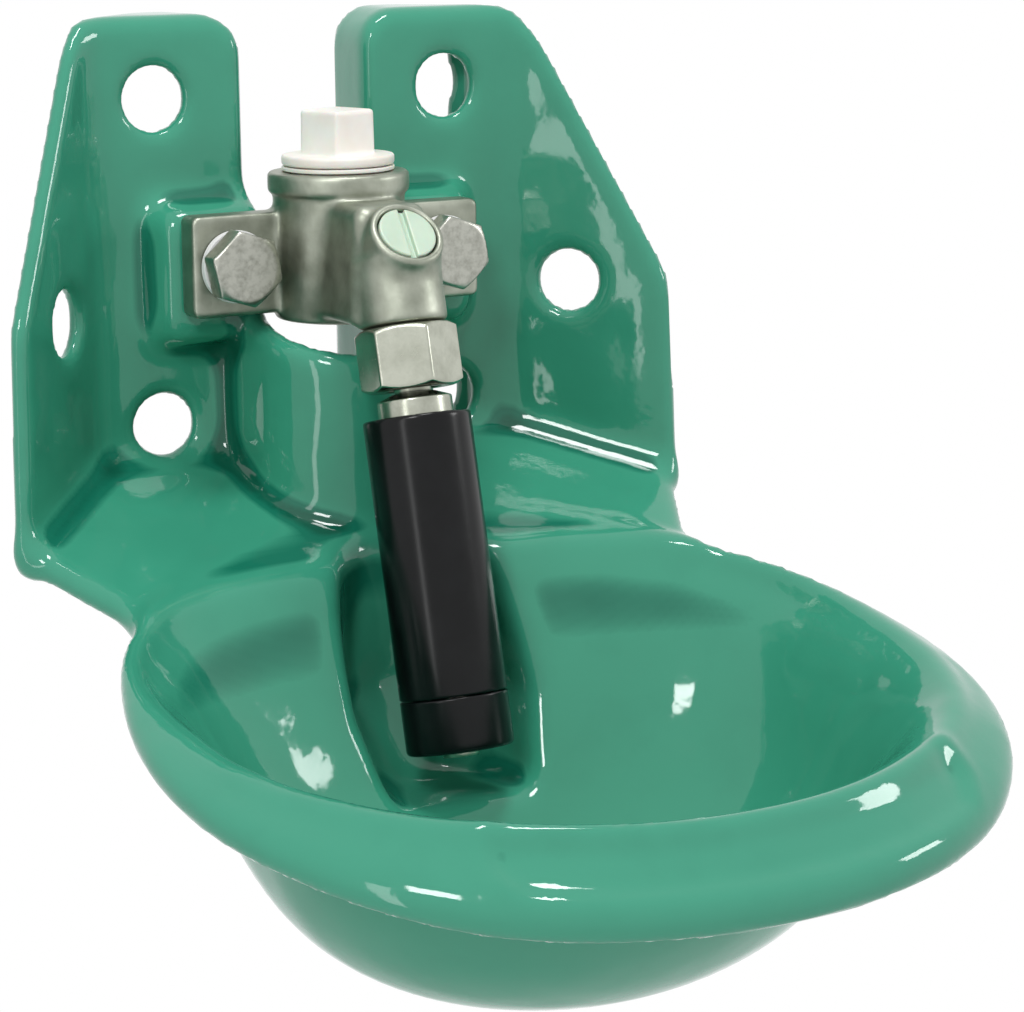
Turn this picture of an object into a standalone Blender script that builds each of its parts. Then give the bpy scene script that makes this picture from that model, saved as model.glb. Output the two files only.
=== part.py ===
# Automatic drinking bowl: an enamelled cast-iron bowl fed by a tube valve that an animal tilts.
# X runs to the right, -Y out from the wall and Z up. The wall is the plane y = 0, and the origin
# lies on it, midway between the two lower mounting holes.

import math

import bmesh
import bpy
from mathutils import Matrix, Vector

MM = 0.001
GAP = 0.3 * MM
WELD = 0.005 * MM

# Mounting holes: a square pattern for a wall, and one hole in each wing for a corner
HOLE_PITCH = 82 * MM
HOLE_DIAMETER = 16 * MM
CORNER_HOLE_X = 70.3 * MM
CORNER_HOLE_Z = 30 * MM

# Ears: a flat front, a wing swept forward, and a wall along the slot that reaches the wall plane
EAR_FRONT = 25 * MM
EAR_WALL = 5 * MM
SLOT_FRONT_WIDTH = 33 * MM
SLOT_BACK_WIDTH = 38.6 * MM
SLOT_WALL = 5 * MM
WING_START = 58.4 * MM
WING_ANGLE = math.radians(45)
WING_TAIL = 17 * MM
EAR_TOP = 102.5 * MM
EAR_FOOT = -30 * MM
EAR_CORNER_Z = 32 * MM
WING_TOP_REACH = 1.5 * MM
WING_SHOULDER_REACH = 9.2 * MM
WING_SHOULDER = 95.5 * MM
WING_CORNER_REACH = 45.2 * MM
WING_FOOT_REACH = 47.8 * MM
EAR_SLOT_RADIUS = 10 * MM
EAR_TOP_RADIUS = 3 * MM
WING_SHOULDER_RADIUS = 12 * MM
EAR_CORNER_RADIUS = 14 * MM
EAR_FOOT_RADIUS = 6 * MM
EAR_EDGE = 2.6 * MM
BEHIND_WALL = 10 * MM

# Deck that slopes from the ears to the bowl
DECK_Z = -9 * MM
DECK_SLOPE = 0.36
DECK_WALL = 7 * MM
DECK_FRONT = 100 * MM
DECK_WAIST = 80 * MM
DECK_WAIST_INSET = 7.3 * MM

# Rounded hood in front of the supply pipe, with the open channel behind it
CHANNEL_MARGIN = 0.45 * MM
CHANNEL_RADIUS = 17.5 * MM
CHANNEL_CENTRE = 42 * MM
HOOD_HALF_WIDTH = 23.5 * MM
HOOD_TOP = 26.4 * MM
HOOD_SLOPE = 0.3
HOOD_FOOT = -45 * MM
RIB_FOOT = -52 * MM
RIB_LOW = -99 * MM
RIB_HEEL = 62 * MM
RIB_TOE = 114 * MM
RIB_FRONT = 96 * MM
RIB_FRONT_Z = -60 * MM
RIB_TOP = 64 * MM
RIB_SINK = 3 * MM
RIB_WALL = 4.8 * MM

# Bowl mouth, its depth and the shape of its side
MOUTH_HALF_WIDTH = 86.8 * MM
MOUTH_CENTRE = 152.6 * MM
MOUTH_FRONT = 78 * MM
MOUTH_BACK = 68.6 * MM
MOUTH_Z = -45 * MM
MOUTH_SLOPE = 0.07
MOUTH_RISE = 7 * MM
BOWL_DEPTH = 65.5 * MM
BOWL_WALL = 5.5 * MM
BODY_SHARE_SIDE = 0.84
BODY_SHARE_FRONT = 0.76
ROUNDNESS_FRONT = 3.0
ROUNDNESS_BACK = 1.6
FLARE_CURVE = 5
SQUARE_BACK = 3.6
SQUARE_RIM = 2.1
RING_STEPS = 48

DECK_WAIST_HALF_WIDTH = MOUTH_HALF_WIDTH - DECK_WAIST_INSET

# Rim that turns down and outwards, set out from the mouth
RIM_SIDE = 14.5 * MM
RIM_SHIFT = 3.4 * MM
RIM_FRONT_REACH = 14.4 * MM
RIM_BACK_REACH = 29 * MM
RIM_DROP = 4 * MM
RIM_SLOPE = 0.24
RIM_WALL = 5 * MM
RIM_UNDER_INSET = 4.5 * MM
RIM_CREST = 3 * MM
RIM_HALF_WIDTH = MOUTH_HALF_WIDTH + RIM_SIDE
RIM_CENTRE = MOUTH_CENTRE + RIM_SHIFT
RIM_FRONT = MOUTH_FRONT + RIM_FRONT_REACH - RIM_SHIFT
RIM_BACK = MOUTH_BACK + RIM_BACK_REACH + RIM_SHIFT
RIM_Z = MOUTH_Z - RIM_DROP

# Niche that the tube hangs in
NICHE_HALF_WIDTH = 24 * MM
NICHE_BACK = 68.5 * MM
NICHE_WALL = 6 * MM
NICHE_FOOT = -84 * MM
NICHE_FOOT_HALF_WIDTH = 19 * MM
NICHE_FOOT_BACK = 85 * MM
NICHE_TAPER = 22 * MM

# Valve body: a pipe barrel with two lugs, and a leaning outlet in front
BARREL_OUT = 42.8 * MM
BARREL_RADIUS = 16.5 * MM
BARREL_BORE = 12.2 * MM
BARREL_FOOT = 27 * MM
BARREL_HEIGHT = 31.5 * MM
COLLAR_RADIUS = 17.7 * MM
COLLAR_HEIGHT = 5.2 * MM
LUG_SPAN = 80 * MM
LUG_HEIGHT = 25.2 * MM
LUG_THICKNESS = 8 * MM
BRIDGE_TOP_WIDTH = 19 * MM
BRIDGE_FOOT_WIDTH = 25 * MM
BRIDGE_TOP = 57.5 * MM
BRIDGE_REACH = 32 * MM
PORT_RADIUS = 2.4 * MM
PORT_Z = 50 * MM
PORT_REACH = 73.5 * MM

# Lug fasteners: M10 screws through pads on the casting
BOLT_SPACING = 58.4 * MM
BOLT_Z = 41.7 * MM
BOLT_RADIUS = 4.9 * MM
BOLT_CLEARANCE = 0.4 * MM
BOLT_LENGTH = 40 * MM
HEX_ACROSS_FLATS = 17 * MM
HEAD_HEIGHT = 6.4 * MM
NUT_HEIGHT = 8.4 * MM
WASHER_RADIUS = 9 * MM
WASHER_HEIGHT = 2 * MM
PAD_SIDE = 26 * MM
PAD_TOP = 54 * MM
PAD_FOOT = 23 * MM
PAD_DRAFT = 4.4 * MM
PAD_RADIUS = 5 * MM
SPANNER_ROOM = 2.5 * MM
SPOT_FACE = 0.4 * MM

# Distance from the wall to the face that each nut's washer sits on
NUT_FACE = EAR_FRONT - EAR_WALL + SPOT_FACE

# Outlet axis: the tube pivots at its ball, and leans forward at rest
PIVOT_OUT = 78.8 * MM
PIVOT_Z = 20.9 * MM
TUBE_LEAN = math.radians(14.3)
OUTLET_RADIUS = 10.7 * MM
OUTLET_LENGTH = 16.5 * MM
CHAMBER_RADIUS = 6.5 * MM
CHAMBER_TOP = 16.5 * MM
SPRING_POCKET_RADIUS = 4.3 * MM
SPRING_POCKET_TOP = 21.6 * MM
SPIGOT_WALL = 2 * MM
SPIGOT_END = 3.6 * MM

# Union nut
UNION_ACROSS_FLATS = 22 * MM
UNION_LOW = -7.5 * MM
UNION_HIGH = 8 * MM
UNION_LIP = 2.7 * MM
UNION_HOLE = 6.5 * MM
UNION_FACE_INSET = 0.4 * MM

# Ball, swivel ring and seat
BALL_RADIUS = 5.6 * MM
BALL_TOP = 3.2 * MM
SWIVEL_WALL = 1.3 * MM
SWIVEL_LOW = -3 * MM
SWIVEL_HIGH = 2 * MM
SEAT_RING_HEIGHT = 5.5 * MM
SEAL_RING_HEIGHT = 2 * MM
SEAL_RING_WALL = 1 * MM

# Tube and the sleeve on it
TUBE_RADIUS = 4.5 * MM
TUBE_BORE = 3.2 * MM
TUBE_END = -97.1 * MM
NECK_RADIUS = 9.2 * MM
NECK_TOP = -8.3 * MM
NECK_SHOULDER = -9.8 * MM
NECK_LENGTH = 11.7 * MM
SLEEVE_RADIUS = 13.2 * MM
SLEEVE_TOP = -14 * MM
SLEEVE_LENGTH = 68.4 * MM
CAP_LENGTH = 13.2 * MM
CAP_RECESS = 2 * MM
CAP_RECESS_RADIUS = 7.3 * MM
EDGE_CHAMFER = 0.9 * MM
CLIP_WALL = 2 * MM
CLIP_HEIGHT = 1 * MM

# Valve: seat, stem, disc and spring
SEAT_LOW = 7 * MM
SEAT_HEIGHT = 3 * MM
SEAT_HOLE = 3.6 * MM
STEM_RADIUS = 1.6 * MM
STEM_PLAY = 0.5 * MM
FOOT_RADIUS = 4.2 * MM
FOOT_HEIGHT = 1.2 * MM
DISC_RADIUS = 5.5 * MM
DISC_HEIGHT = 2 * MM
HEAD_DISC_HEIGHT = 1.5 * MM
SPRING_RADIUS = 3.3 * MM
SPRING_WIRE = 0.9 * MM
SPRING_TURNS = 4

# Flow screw, set in a boss at 45 degrees
SCREW_OUT = 79.4 * MM
SCREW_Z = 51.8 * MM
SCREW_ANGLE = math.radians(45)
SCREW_RADIUS = 7.2 * MM
SCREW_HEAD = 1.8 * MM
SCREW_GROOVE = 1.7 * MM
SCREW_GROOVE_RADIUS = 5.6 * MM
SCREW_LAND = 1 * MM
SCREW_TIP = 2.9 * MM
SCREW_TIP_RADIUS = 2.6 * MM
SCREW_TRAVEL = 1 * MM
SCREW_SLOT = 1.7 * MM
SCREW_SLOT_DEPTH = 1.3 * MM
SCREW_SLOT_TURN = math.radians(8)
BOSS_WALL = 1.9 * MM
BOSS_LENGTH = 16 * MM
THROTTLE_RADIUS = 1.6 * MM
THROTTLE_LENGTH = 8.3 * MM

# Closing plug on top, and the strainer under it
PLUG_THREAD = 11.9 * MM
PLUG_DEPTH = 11 * MM
PLUG_FLANGE_RADIUS = 14.1 * MM
PLUG_FLANGE = 2.6 * MM
PLUG_SQUARE = 13.6 * MM
PLUG_SQUARE_HEIGHT = 11 * MM
PLUG_TURN = math.radians(18)
PLUG_SEAL = 1 * MM
STRAINER_WALL = 1 * MM
STRAINER_HEIGHT = 12 * MM
STRAINER_SLOTS = 4
STRAINER_SLOT = 2.4 * MM

# How each piece looks: colour, roughness, metallic
FINISHES = {
    "enamel": ((0.05, 0.30, 0.20), 0.12, 0.0),
    "cast": ((0.40, 0.42, 0.37), 0.5, 0.9),
    "steel": ((0.62, 0.61, 0.57), 0.3, 1.0),
    "brass": ((0.60, 0.42, 0.18), 0.35, 1.0),
    "white": ((0.85, 0.80, 0.72), 0.4, 0.0),
    "mint": ((0.68, 0.82, 0.68), 0.4, 0.0),
    "black": ((0.012, 0.012, 0.013), 0.35, 0.0),
    "rubber": ((0.03, 0.03, 0.03), 0.7, 0.0),
}


def finish(name, kind):
    """A Principled material for one piece."""
    colour, roughness, metallic = FINISHES[kind]
    material = bpy.data.materials.new(name)
    material.use_nodes = True
    shader = material.node_tree.nodes["Principled BSDF"]
    shader.inputs["Base Color"].default_value = (*colour, 1)
    shader.inputs["Roughness"].default_value = roughness
    shader.inputs["Metallic"].default_value = metallic
    return material


def add_object(name, data, place, kind, parent=None):
    """Link an object; with no finish it is a cutter or a guide."""
    piece = bpy.data.objects.new(name, data)
    bpy.context.scene.collection.objects.link(piece)
    if kind:
        data.materials.append(finish(name, kind))
    else:
        piece.hide_render = True
        piece.display_type = "WIRE"
    piece.parent = parent
    piece.matrix_basis = place
    return piece


def add_mesh(name, points, faces, place=Matrix(), kind=None, parent=None):
    """One closed body from points and faces."""
    mesh = bpy.data.meshes.new(name)
    body = bmesh.new()
    corners = [body.verts.new(point) for point in points]
    for face in faces:
        body.faces.new([corners[index] for index in face])
    bmesh.ops.triangulate(body, faces=[face for face in body.faces if len(face.verts) > 4])
    bmesh.ops.recalc_face_normals(body, faces=body.faces)
    body.to_mesh(mesh)
    body.free()
    return add_object(name, mesh, place, kind, parent)


def combine(target, operation, *tools):
    """Join or cut the target with each tool."""
    for tool in tools:
        step = target.modifiers.new(operation.lower() + "_" + tool.name, "BOOLEAN")
        step.operation = operation
        step.solver = "EXACT"
        step.object = tool
        join = target.modifiers.new("weld_" + tool.name, "WELD")
        join.merge_threshold = WELD
    return target


def bevel(target, width, angle=40, segments=1):
    """Round every edge that is sharper than the angle."""
    step = target.modifiers.new("edges", "BEVEL")
    step.width = width
    step.segments = segments
    step.limit_method = "ANGLE"
    step.angle_limit = math.radians(angle)
    return target


def fillet(corners, steps=4):
    """Points of an outline whose corners are (x, y, radius)."""
    points = []
    for index, (x, y, radius) in enumerate(corners):
        here = Vector((x, y))
        if radius == 0:
            points.append(here)
            continue
        before = Vector(corners[index - 1][:2]) - here
        after = Vector(corners[(index + 1) % len(corners)][:2]) - here
        half = before.angle(after) / 2
        setback = radius / math.tan(half)
        centre = here + (before.normalized() + after.normalized()).normalized() * radius / math.sin(half)
        start = here + before.normalized() * setback - centre
        sweep = start.angle_signed(here + after.normalized() * setback - centre)
        for step in range(steps + 1):
            points.append(centre + Matrix.Rotation(-sweep * step / steps, 2) @ start)
    return points


def arc(centre_x, centre_y, radius, start, end, steps):
    """Points of an arc, from start to end in degrees."""
    turns = [math.radians(start + (end - start) * step / steps) for step in range(steps + 1)]
    return [(centre_x + radius * math.cos(turn), centre_y + radius * math.sin(turn)) for turn in turns]


def loft(name, rings, kind=None, place=Matrix(), parent=None, poles=()):
    """A closed body through rings of equal count; poles are the points that close its two ends."""
    count = len(rings[0])
    points = [point for ring in rings for point in ring]
    faces = []
    for level in range(len(rings) - 1):
        for step in range(count):
            right = (step + 1) % count
            low, high = level * count, (level + 1) * count
            faces.append((low + step, low + right, high + right, high + step))
    if poles:
        for pole, start in zip(poles, (0, (len(rings) - 1) * count)):
            points.append(pole)
            faces += [(start + step, start + (step + 1) % count, len(points) - 1) for step in range(count)]
    else:
        faces += [tuple(range(count)), tuple(range(len(points) - count, len(points)))]
    return add_mesh(name, points, faces, place, kind, parent)


def upright(name, outline, low, high, kind=None):
    """An outline in X and Y, raised from low to high."""
    return loft(name, [[(x, y, z) for x, y in outline] for z in (low, high)], kind)


def through(name, outline, front, back, kind=None):
    """An outline in X and Z, carried along Y."""
    return loft(name, [[(x, y, z) for x, z in outline] for y in (front, back)], kind)


def box(name, low, high, kind=None, place=Matrix(), parent=None):
    """A block between two corners."""
    floor = [(low[0], low[1]), (high[0], low[1]), (high[0], high[1]), (low[0], high[1])]
    return loft(name, [[(x, y, z) for x, y in floor] for z in (low[2], high[2])], kind, place, parent)


def turned(name, profile, kind=None, place=Matrix(), parent=None, steps=28, turn=0.0):
    """A closed profile of (radius, height) turned about the local Z axis."""
    points, faces, rows = [], [], []
    for radius, height in profile:
        if radius == 0:
            rows.append([len(points)] * steps)
            points.append((0, 0, height))
            continue
        rows.append(list(range(len(points), len(points) + steps)))
        for step in range(steps):
            angle = turn + 2 * math.pi * step / steps
            points.append((radius * math.cos(angle), radius * math.sin(angle), height))
    for row, above in zip(rows, rows[1:] + rows[:1]):
        for step in range(steps):
            right = (step + 1) % steps
            corners = dict.fromkeys((row[step], row[right], above[right], above[step]))
            if len(corners) > 2:
                faces.append(tuple(corners))
    return add_mesh(name, points, faces, place, kind, parent)


def ring(name, inner, outer, low, high, kind=None, place=Matrix(), parent=None, steps=28):
    """A plain ring, or a disc where the inner radius is 0."""
    profile = [(inner, low), (outer, low), (outer, high), (inner, high)]
    return turned(name, profile, kind, place, parent, steps)


def mirrored(points):
    """The same outline on the left, in the same turning sense."""
    return [(-x, *rest) for x, *rest in reversed(points)]


def facing(origin, outward):
    """A place whose local Z points outward."""
    return Matrix.Translation(origin) @ Vector(outward).to_track_quat("Z", "Y").to_matrix().to_4x4()


def deck_height(y):
    """Height of the deck's upper side at a distance from the wall."""
    return DECK_Z + DECK_SLOPE * (y + EAR_FRONT)


def side_shape(share, body_share, roundness):
    """How wide the bowl still is at a share of its depth: an upright side with a flare on top."""
    body = math.sqrt(max(0.0, 1 - share ** roundness))
    return body_share * body + (1 - body_share) * (1 - share) ** FLARE_CURVE


def oval(half_width, centre, front, back, squares, height):
    """A ring of the bowl: one ellipse in front and a squarer one at the back."""
    points = []
    for step in range(RING_STEPS):
        angle = 2 * math.pi * step / RING_STEPS
        across, along = math.cos(angle), math.sin(angle)
        power = 2 / squares[1 if along > 0 else 0]
        x = half_width * math.copysign(abs(across) ** power, across)
        y = -centre + (back if along > 0 else front) * math.copysign(abs(along) ** power, along)
        points.append((x, y, height(y)))
    return points


def mouth_height(depth, fade):
    """Height of a ring of the bowl, which rises to the deck at its back."""
    def height(y):
        behind = max(0.0, y + MOUTH_CENTRE - 27 * MM) / (40 * MM)
        tilt = MOUTH_SLOPE * (y + MOUTH_CENTRE) + MOUTH_RISE * behind ** 2
        return MOUTH_Z - depth + tilt * fade
    return height


def bowl_ring(share, wall=0.0):
    """A ring of the inside, or of the outside where a wall is given."""
    depth = share * (BOWL_DEPTH + wall)
    side = side_shape(share, BODY_SHARE_SIDE, ROUNDNESS_FRONT)
    ahead = side_shape(share, BODY_SHARE_FRONT, ROUNDNESS_FRONT)
    behind = side_shape(share, BODY_SHARE_SIDE, ROUNDNESS_BACK)
    square = 2.2 + (SQUARE_BACK - 2.2) * (1 - share) ** 2
    fade = 0 if wall else (1 - share) ** 3
    return oval((MOUTH_HALF_WIDTH + wall) * side, MOUTH_CENTRE - 3.6 * MM * share,
                (MOUTH_FRONT + wall) * ahead, (MOUTH_BACK + wall) * behind, (2, square),
                mouth_height(depth, fade))


def rim_ring(inset, drop, slope=RIM_SLOPE, mix=0.0):
    """A ring of the rim: inset from its edge, and mixed towards the mouth."""
    def height(y):
        return RIM_Z - drop + slope * (y + RIM_CENTRE) + (MOUTH_Z - RIM_Z) * mix
    blend = [rim + (mouth - rim) * mix for rim, mouth in (
        (RIM_HALF_WIDTH, MOUTH_HALF_WIDTH), (RIM_CENTRE, MOUTH_CENTRE),
        (RIM_FRONT, MOUTH_FRONT), (RIM_BACK, MOUTH_BACK))]
    square = SQUARE_RIM + (2 - SQUARE_RIM) * mix
    return oval(blend[0] - inset, blend[1], blend[2] - inset, blend[3] - inset, (square, 2), height)


def make_bowl_shell():
    """The outside of the bowl with its rim, closed across the mouth."""
    hull = [bowl_ring(share, BOWL_WALL) for share in (0.975, 0.92, 0.83, 0.71, 0.57, 0.41, 0.25, 0.12)]
    rim = [
        rim_ring(RIM_UNDER_INSET, RIM_WALL, 0.12, 0.45),
        rim_ring(RIM_UNDER_INSET, RIM_WALL - 0.5 * MM),
        rim_ring(1.2 * MM, RIM_WALL - 1 * MM),
        rim_ring(0, 0.5 * MM),
        rim_ring(1.4 * MM, -RIM_CREST, 0.225),
        rim_ring(0.5 * MM, -RIM_CREST - 0.2 * MM, 0.17, 0.45),
    ]
    crest = oval(MOUTH_HALF_WIDTH + 2 * MM, MOUTH_CENTRE, MOUTH_FRONT + 1.5 * MM, MOUTH_BACK + 2 * MM,
                 (2, SQUARE_BACK), mouth_height(-1.6 * MM, 1))
    floor = (0, 3.6 * MM - MOUTH_CENTRE, MOUTH_Z - BOWL_DEPTH - BOWL_WALL)
    lid = (0, -MOUTH_CENTRE, MOUTH_Z + 2 * MM)
    return loft("bowl_casting", hull + rim + [crest], "enamel", poles=(floor, lid))


def make_cavity():
    """The hollow of the bowl, flared where it leaves the mouth."""
    inside = [bowl_ring(share) for share in (0.975, 0.92, 0.83, 0.71, 0.57, 0.41, 0.25, 0.12, 0.04)]
    mouth = oval(MOUTH_HALF_WIDTH, MOUTH_CENTRE, MOUTH_FRONT, MOUTH_BACK, (2, SQUARE_BACK),
                 mouth_height(0, 1))
    lip = oval(MOUTH_HALF_WIDTH + 1.5 * MM, MOUTH_CENTRE, MOUTH_FRONT + 1.5 * MM, MOUTH_BACK + 1.5 * MM,
               (2, SQUARE_BACK), mouth_height(-1.5 * MM, 1))
    sky = [(x, y, z + MOUTH_HALF_WIDTH / 2) for x, y, z in lip]
    floor = (0, 3.6 * MM - MOUTH_CENTRE, MOUTH_Z - BOWL_DEPTH)
    return loft("cavity_cutter", inside + [mouth, lip, sky], poles=(floor, (0, -MOUTH_CENTRE, 0)))


def ear_surface(run, behind=0.0):
    """A point of the ear in plan: its distance along the front side, and how far behind that side."""
    if run == WING_START:
        return WING_START + behind * math.tan(WING_ANGLE / 2), behind - EAR_FRONT
    if run < WING_START:
        return run, behind - EAR_FRONT
    along = run - WING_START
    return (WING_START + along * math.cos(WING_ANGLE) + behind * math.sin(WING_ANGLE),
            -EAR_FRONT - along * math.sin(WING_ANGLE) + behind * math.cos(WING_ANGLE))


def ear_plans():
    """The ear's plan, and the plan of the pocket behind it."""
    reach = WING_START + WING_FOOT_REACH + 10 * MM
    front, back = SLOT_FRONT_WIDTH / 2, SLOT_BACK_WIDTH / 2
    draft = (back - front) / EAR_FRONT
    behind_wall = WING_START + EAR_WALL * math.tan(WING_ANGLE / 2) - (EAR_FRONT - EAR_WALL + BEHIND_WALL)
    plan = [(back + draft * BEHIND_WALL, BEHIND_WALL), (front, -EAR_FRONT), ear_surface(WING_START),
            ear_surface(reach), ear_surface(reach, EAR_WALL), (behind_wall, BEHIND_WALL)]
    tail = WING_START - WING_TAIL
    along = tail - WING_START
    wing = [(WING_START + along * math.cos(WING_ANGLE) + behind * math.sin(WING_ANGLE),
             -EAR_FRONT - along * math.sin(WING_ANGLE) + behind * math.cos(WING_ANGLE))
            for behind in (0, EAR_WALL, EAR_WALL + 10 * MM)]
    inner = wing[0][0] + (wing[0][1] + EAR_FRONT - EAR_WALL) / math.tan(WING_ANGLE)
    side = back + SLOT_WALL
    pocket = [(side, 20 * MM), (side, EAR_WALL - EAR_FRONT), (inner, EAR_WALL - EAR_FRONT), wing[0], wing[2],
              (wing[2][0], 20 * MM)]
    return plan, pocket


def ear_outline(behind):
    """The ear's outline, laid on a surface in front of or behind its front side."""
    corner, foot = WING_START + WING_CORNER_REACH, WING_START + WING_FOOT_REACH
    corners = fillet([
        (0, EAR_FOOT, 0), (WING_START, EAR_FOOT, 0), (foot, EAR_FOOT, EAR_FOOT_RADIUS),
        (corner, EAR_CORNER_Z, EAR_CORNER_RADIUS),
        (WING_START + WING_SHOULDER_REACH, WING_SHOULDER, WING_SHOULDER_RADIUS),
        (WING_START + WING_TOP_REACH, EAR_TOP, EAR_TOP_RADIUS),
        (WING_START, EAR_TOP, 0), (SLOT_FRONT_WIDTH / 2, EAR_TOP, EAR_SLOT_RADIUS),
        (SLOT_FRONT_WIDTH / 2, EAR_TOP - 2 * EAR_SLOT_RADIUS, 0), (0, EAR_TOP - 3 * EAR_SLOT_RADIUS, 0)])
    return [(*ear_surface(run, behind), z) for run, z in corners]


def make_ear_cutter(side):
    """A body with the ear's outline, bent like the ear."""
    turn = mirrored if side == "left" else list
    rings = [turn(ear_outline(behind)) for behind in (-10 * MM, 60 * MM)]
    count = len(rings[0])
    bends = [index for index, point in enumerate(turn(ear_outline(0)))
             if abs(abs(point[0]) - WING_START) < 0.01 * MM]
    faces = [(step, (step + 1) % count, count + (step + 1) % count, count + step) for step in range(count)]
    low, high = bends
    for start in (0, count):
        faces.append([start + index for index in range(low, high + 1)])
        faces.append([start + index % count for index in range(high, low + count + 1)])
    return add_mesh("ear_outline_" + side, rings[0] + rings[1], faces)


def make_ears():
    """Both ears as solids, and the cutters that hollow them."""
    plan, pocket = ear_plans()
    ears, pockets = [], []
    for side in ("left", "right"):
        turn = mirrored if side == "left" else list
        ear = upright("ear_" + side, turn(plan), EAR_FOOT - 10 * MM, EAR_TOP + 10 * MM)
        combine(ear, "INTERSECT", make_ear_cutter(side))
        bevel(ear, EAR_EDGE, 30, 2)
        ears.append(ear)
        pockets.append(upright("ear_pocket_" + side, turn(pocket), -150 * MM, EAR_TOP - EAR_WALL))
    return ears, pockets


def make_deck():
    """The sloping deck between the ears and the bowl."""
    middle = EAR_WALL / 2
    foot = WING_START + WING_FOOT_REACH
    half = [(0, middle - EAR_FRONT), ear_surface(WING_START, middle), ear_surface(foot - 4 * MM, middle),
            ear_surface(foot - 1 * MM, -3 * MM), (DECK_WAIST_HALF_WIDTH + 3 * MM, -DECK_WAIST + 6 * MM),
            (DECK_WAIST_HALF_WIDTH, -DECK_WAIST), (DECK_WAIST_HALF_WIDTH - 1 * MM, -DECK_WAIST - 7 * MM),
            (DECK_WAIST_HALF_WIDTH - 6 * MM, -DECK_FRONT), (0, -DECK_FRONT - 10 * MM)]
    outline = half + mirrored(half[1:-1])
    rings = [[(x, y, deck_height(y) - drop) for x, y in outline] for drop in (DECK_WALL, 0)]
    return loft("deck", rings)


def horseshoe(radius, neck, back_neck, back, steps=14):
    """A channel's plan: a half round in front, a neck between the ears, and its back end."""
    return [(back_neck, back), (-back_neck, back), (-neck, -EAR_FRONT)] + arc(
        0, -CHANNEL_CENTRE, radius, 180, 360, steps) + [(neck, -EAR_FRONT)]


def make_hood():
    """The rounded hood in front of the supply pipe, with a sloping top."""
    plan = horseshoe(HOOD_HALF_WIDTH, HOOD_HALF_WIDTH, HOOD_HALF_WIDTH - 0.2 * MM, BEHIND_WALL - 4 * MM)
    top = [(x, y, HOOD_TOP + HOOD_SLOPE * (y + CHANNEL_CENTRE)) for x, y in plan]
    hood = loft("hood", [[(x, y, HOOD_FOOT) for x, y in plan], top])
    return bevel(hood, 1.8 * MM, 60)


def niche_section(half_width, back, front, height):
    """One level of the niche: a half round at the back, open to the bowl in front."""
    centre = back + half_width
    return [(x, -y, height) for x, y in
            arc(0, centre, half_width, 0, -180, 12) + [(-half_width, front), (half_width, front)]]


def make_niche():
    """The wall round the niche, and the cutter for its inside."""
    high, low = deck_height(-NICHE_BACK), NICHE_FOOT
    outer = NICHE_HALF_WIDTH + NICHE_WALL
    front = NICHE_BACK + outer + 22 * MM
    shell = loft("niche_shell", [
        niche_section(NICHE_FOOT_HALF_WIDTH + NICHE_WALL, NICHE_FOOT_BACK - NICHE_WALL + 2 * MM, front + 8 * MM,
                      low - NICHE_WALL),
        niche_section(outer, NICHE_BACK - NICHE_WALL, front, low + NICHE_TAPER),
        niche_section(outer, NICHE_BACK - NICHE_WALL, front, high - 2 * MM)])
    cutter = loft("niche_cutter", [
        niche_section(NICHE_FOOT_HALF_WIDTH, NICHE_FOOT_BACK, front + 22 * MM, low),
        niche_section(NICHE_HALF_WIDTH, NICHE_BACK, front + 22 * MM, low + NICHE_TAPER),
        niche_section(NICHE_HALF_WIDTH, NICHE_BACK, front + 22 * MM, -high)])
    return shell, cutter


def make_pads():
    """Raised pads that the valve's lugs bolt to."""
    pads = []
    near, far = SLOT_FRONT_WIDTH / 2 - 3 * MM, SLOT_FRONT_WIDTH / 2 + PAD_SIDE
    front = -BARREL_OUT + LUG_THICKNESS + GAP
    for side in ("left", "right"):
        turn = mirrored if side == "left" else list
        rings = []
        for y, grow in ((2 * MM - EAR_FRONT, PAD_DRAFT), (front, 0)):
            corners = [(near, PAD_FOOT - grow, 0), (far + grow, PAD_FOOT - grow, PAD_RADIUS),
                       (far + grow, PAD_TOP + grow, PAD_RADIUS), (near, PAD_TOP + grow, 0)]
            rings.append([(x, y, z) for x, z in turn(fillet(corners))])
        pads.append(loft("pad_" + side, rings))
    return pads


def make_ribs():
    """Two ribs that carry the bowl from the wall, one on each side of the pipe channel."""
    back = BEHIND_WALL - 2 * MM
    corners = [(back, DECK_Z - RIB_SINK), (back, RIB_FOOT), (0, RIB_FOOT), (-RIB_HEEL, RIB_LOW),
               (-RIB_TOE, RIB_LOW), (-RIB_FRONT, RIB_FRONT_Z), (-RIB_TOP, deck_height(-RIB_TOP) - RIB_SINK),
               (-EAR_FRONT, DECK_Z - RIB_SINK)]
    ribs = []
    for side, sign in (("left", -1), ("right", 1)):
        near = sign * (SLOT_FRONT_WIDTH / 2 - 2 * MM)
        rings = [[(x, y, z) for y, z in corners] for x in (near, sign * (CHANNEL_RADIUS + RIB_WALL))]
        ribs.append(loft("rib_" + side, rings))
    return ribs


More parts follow.
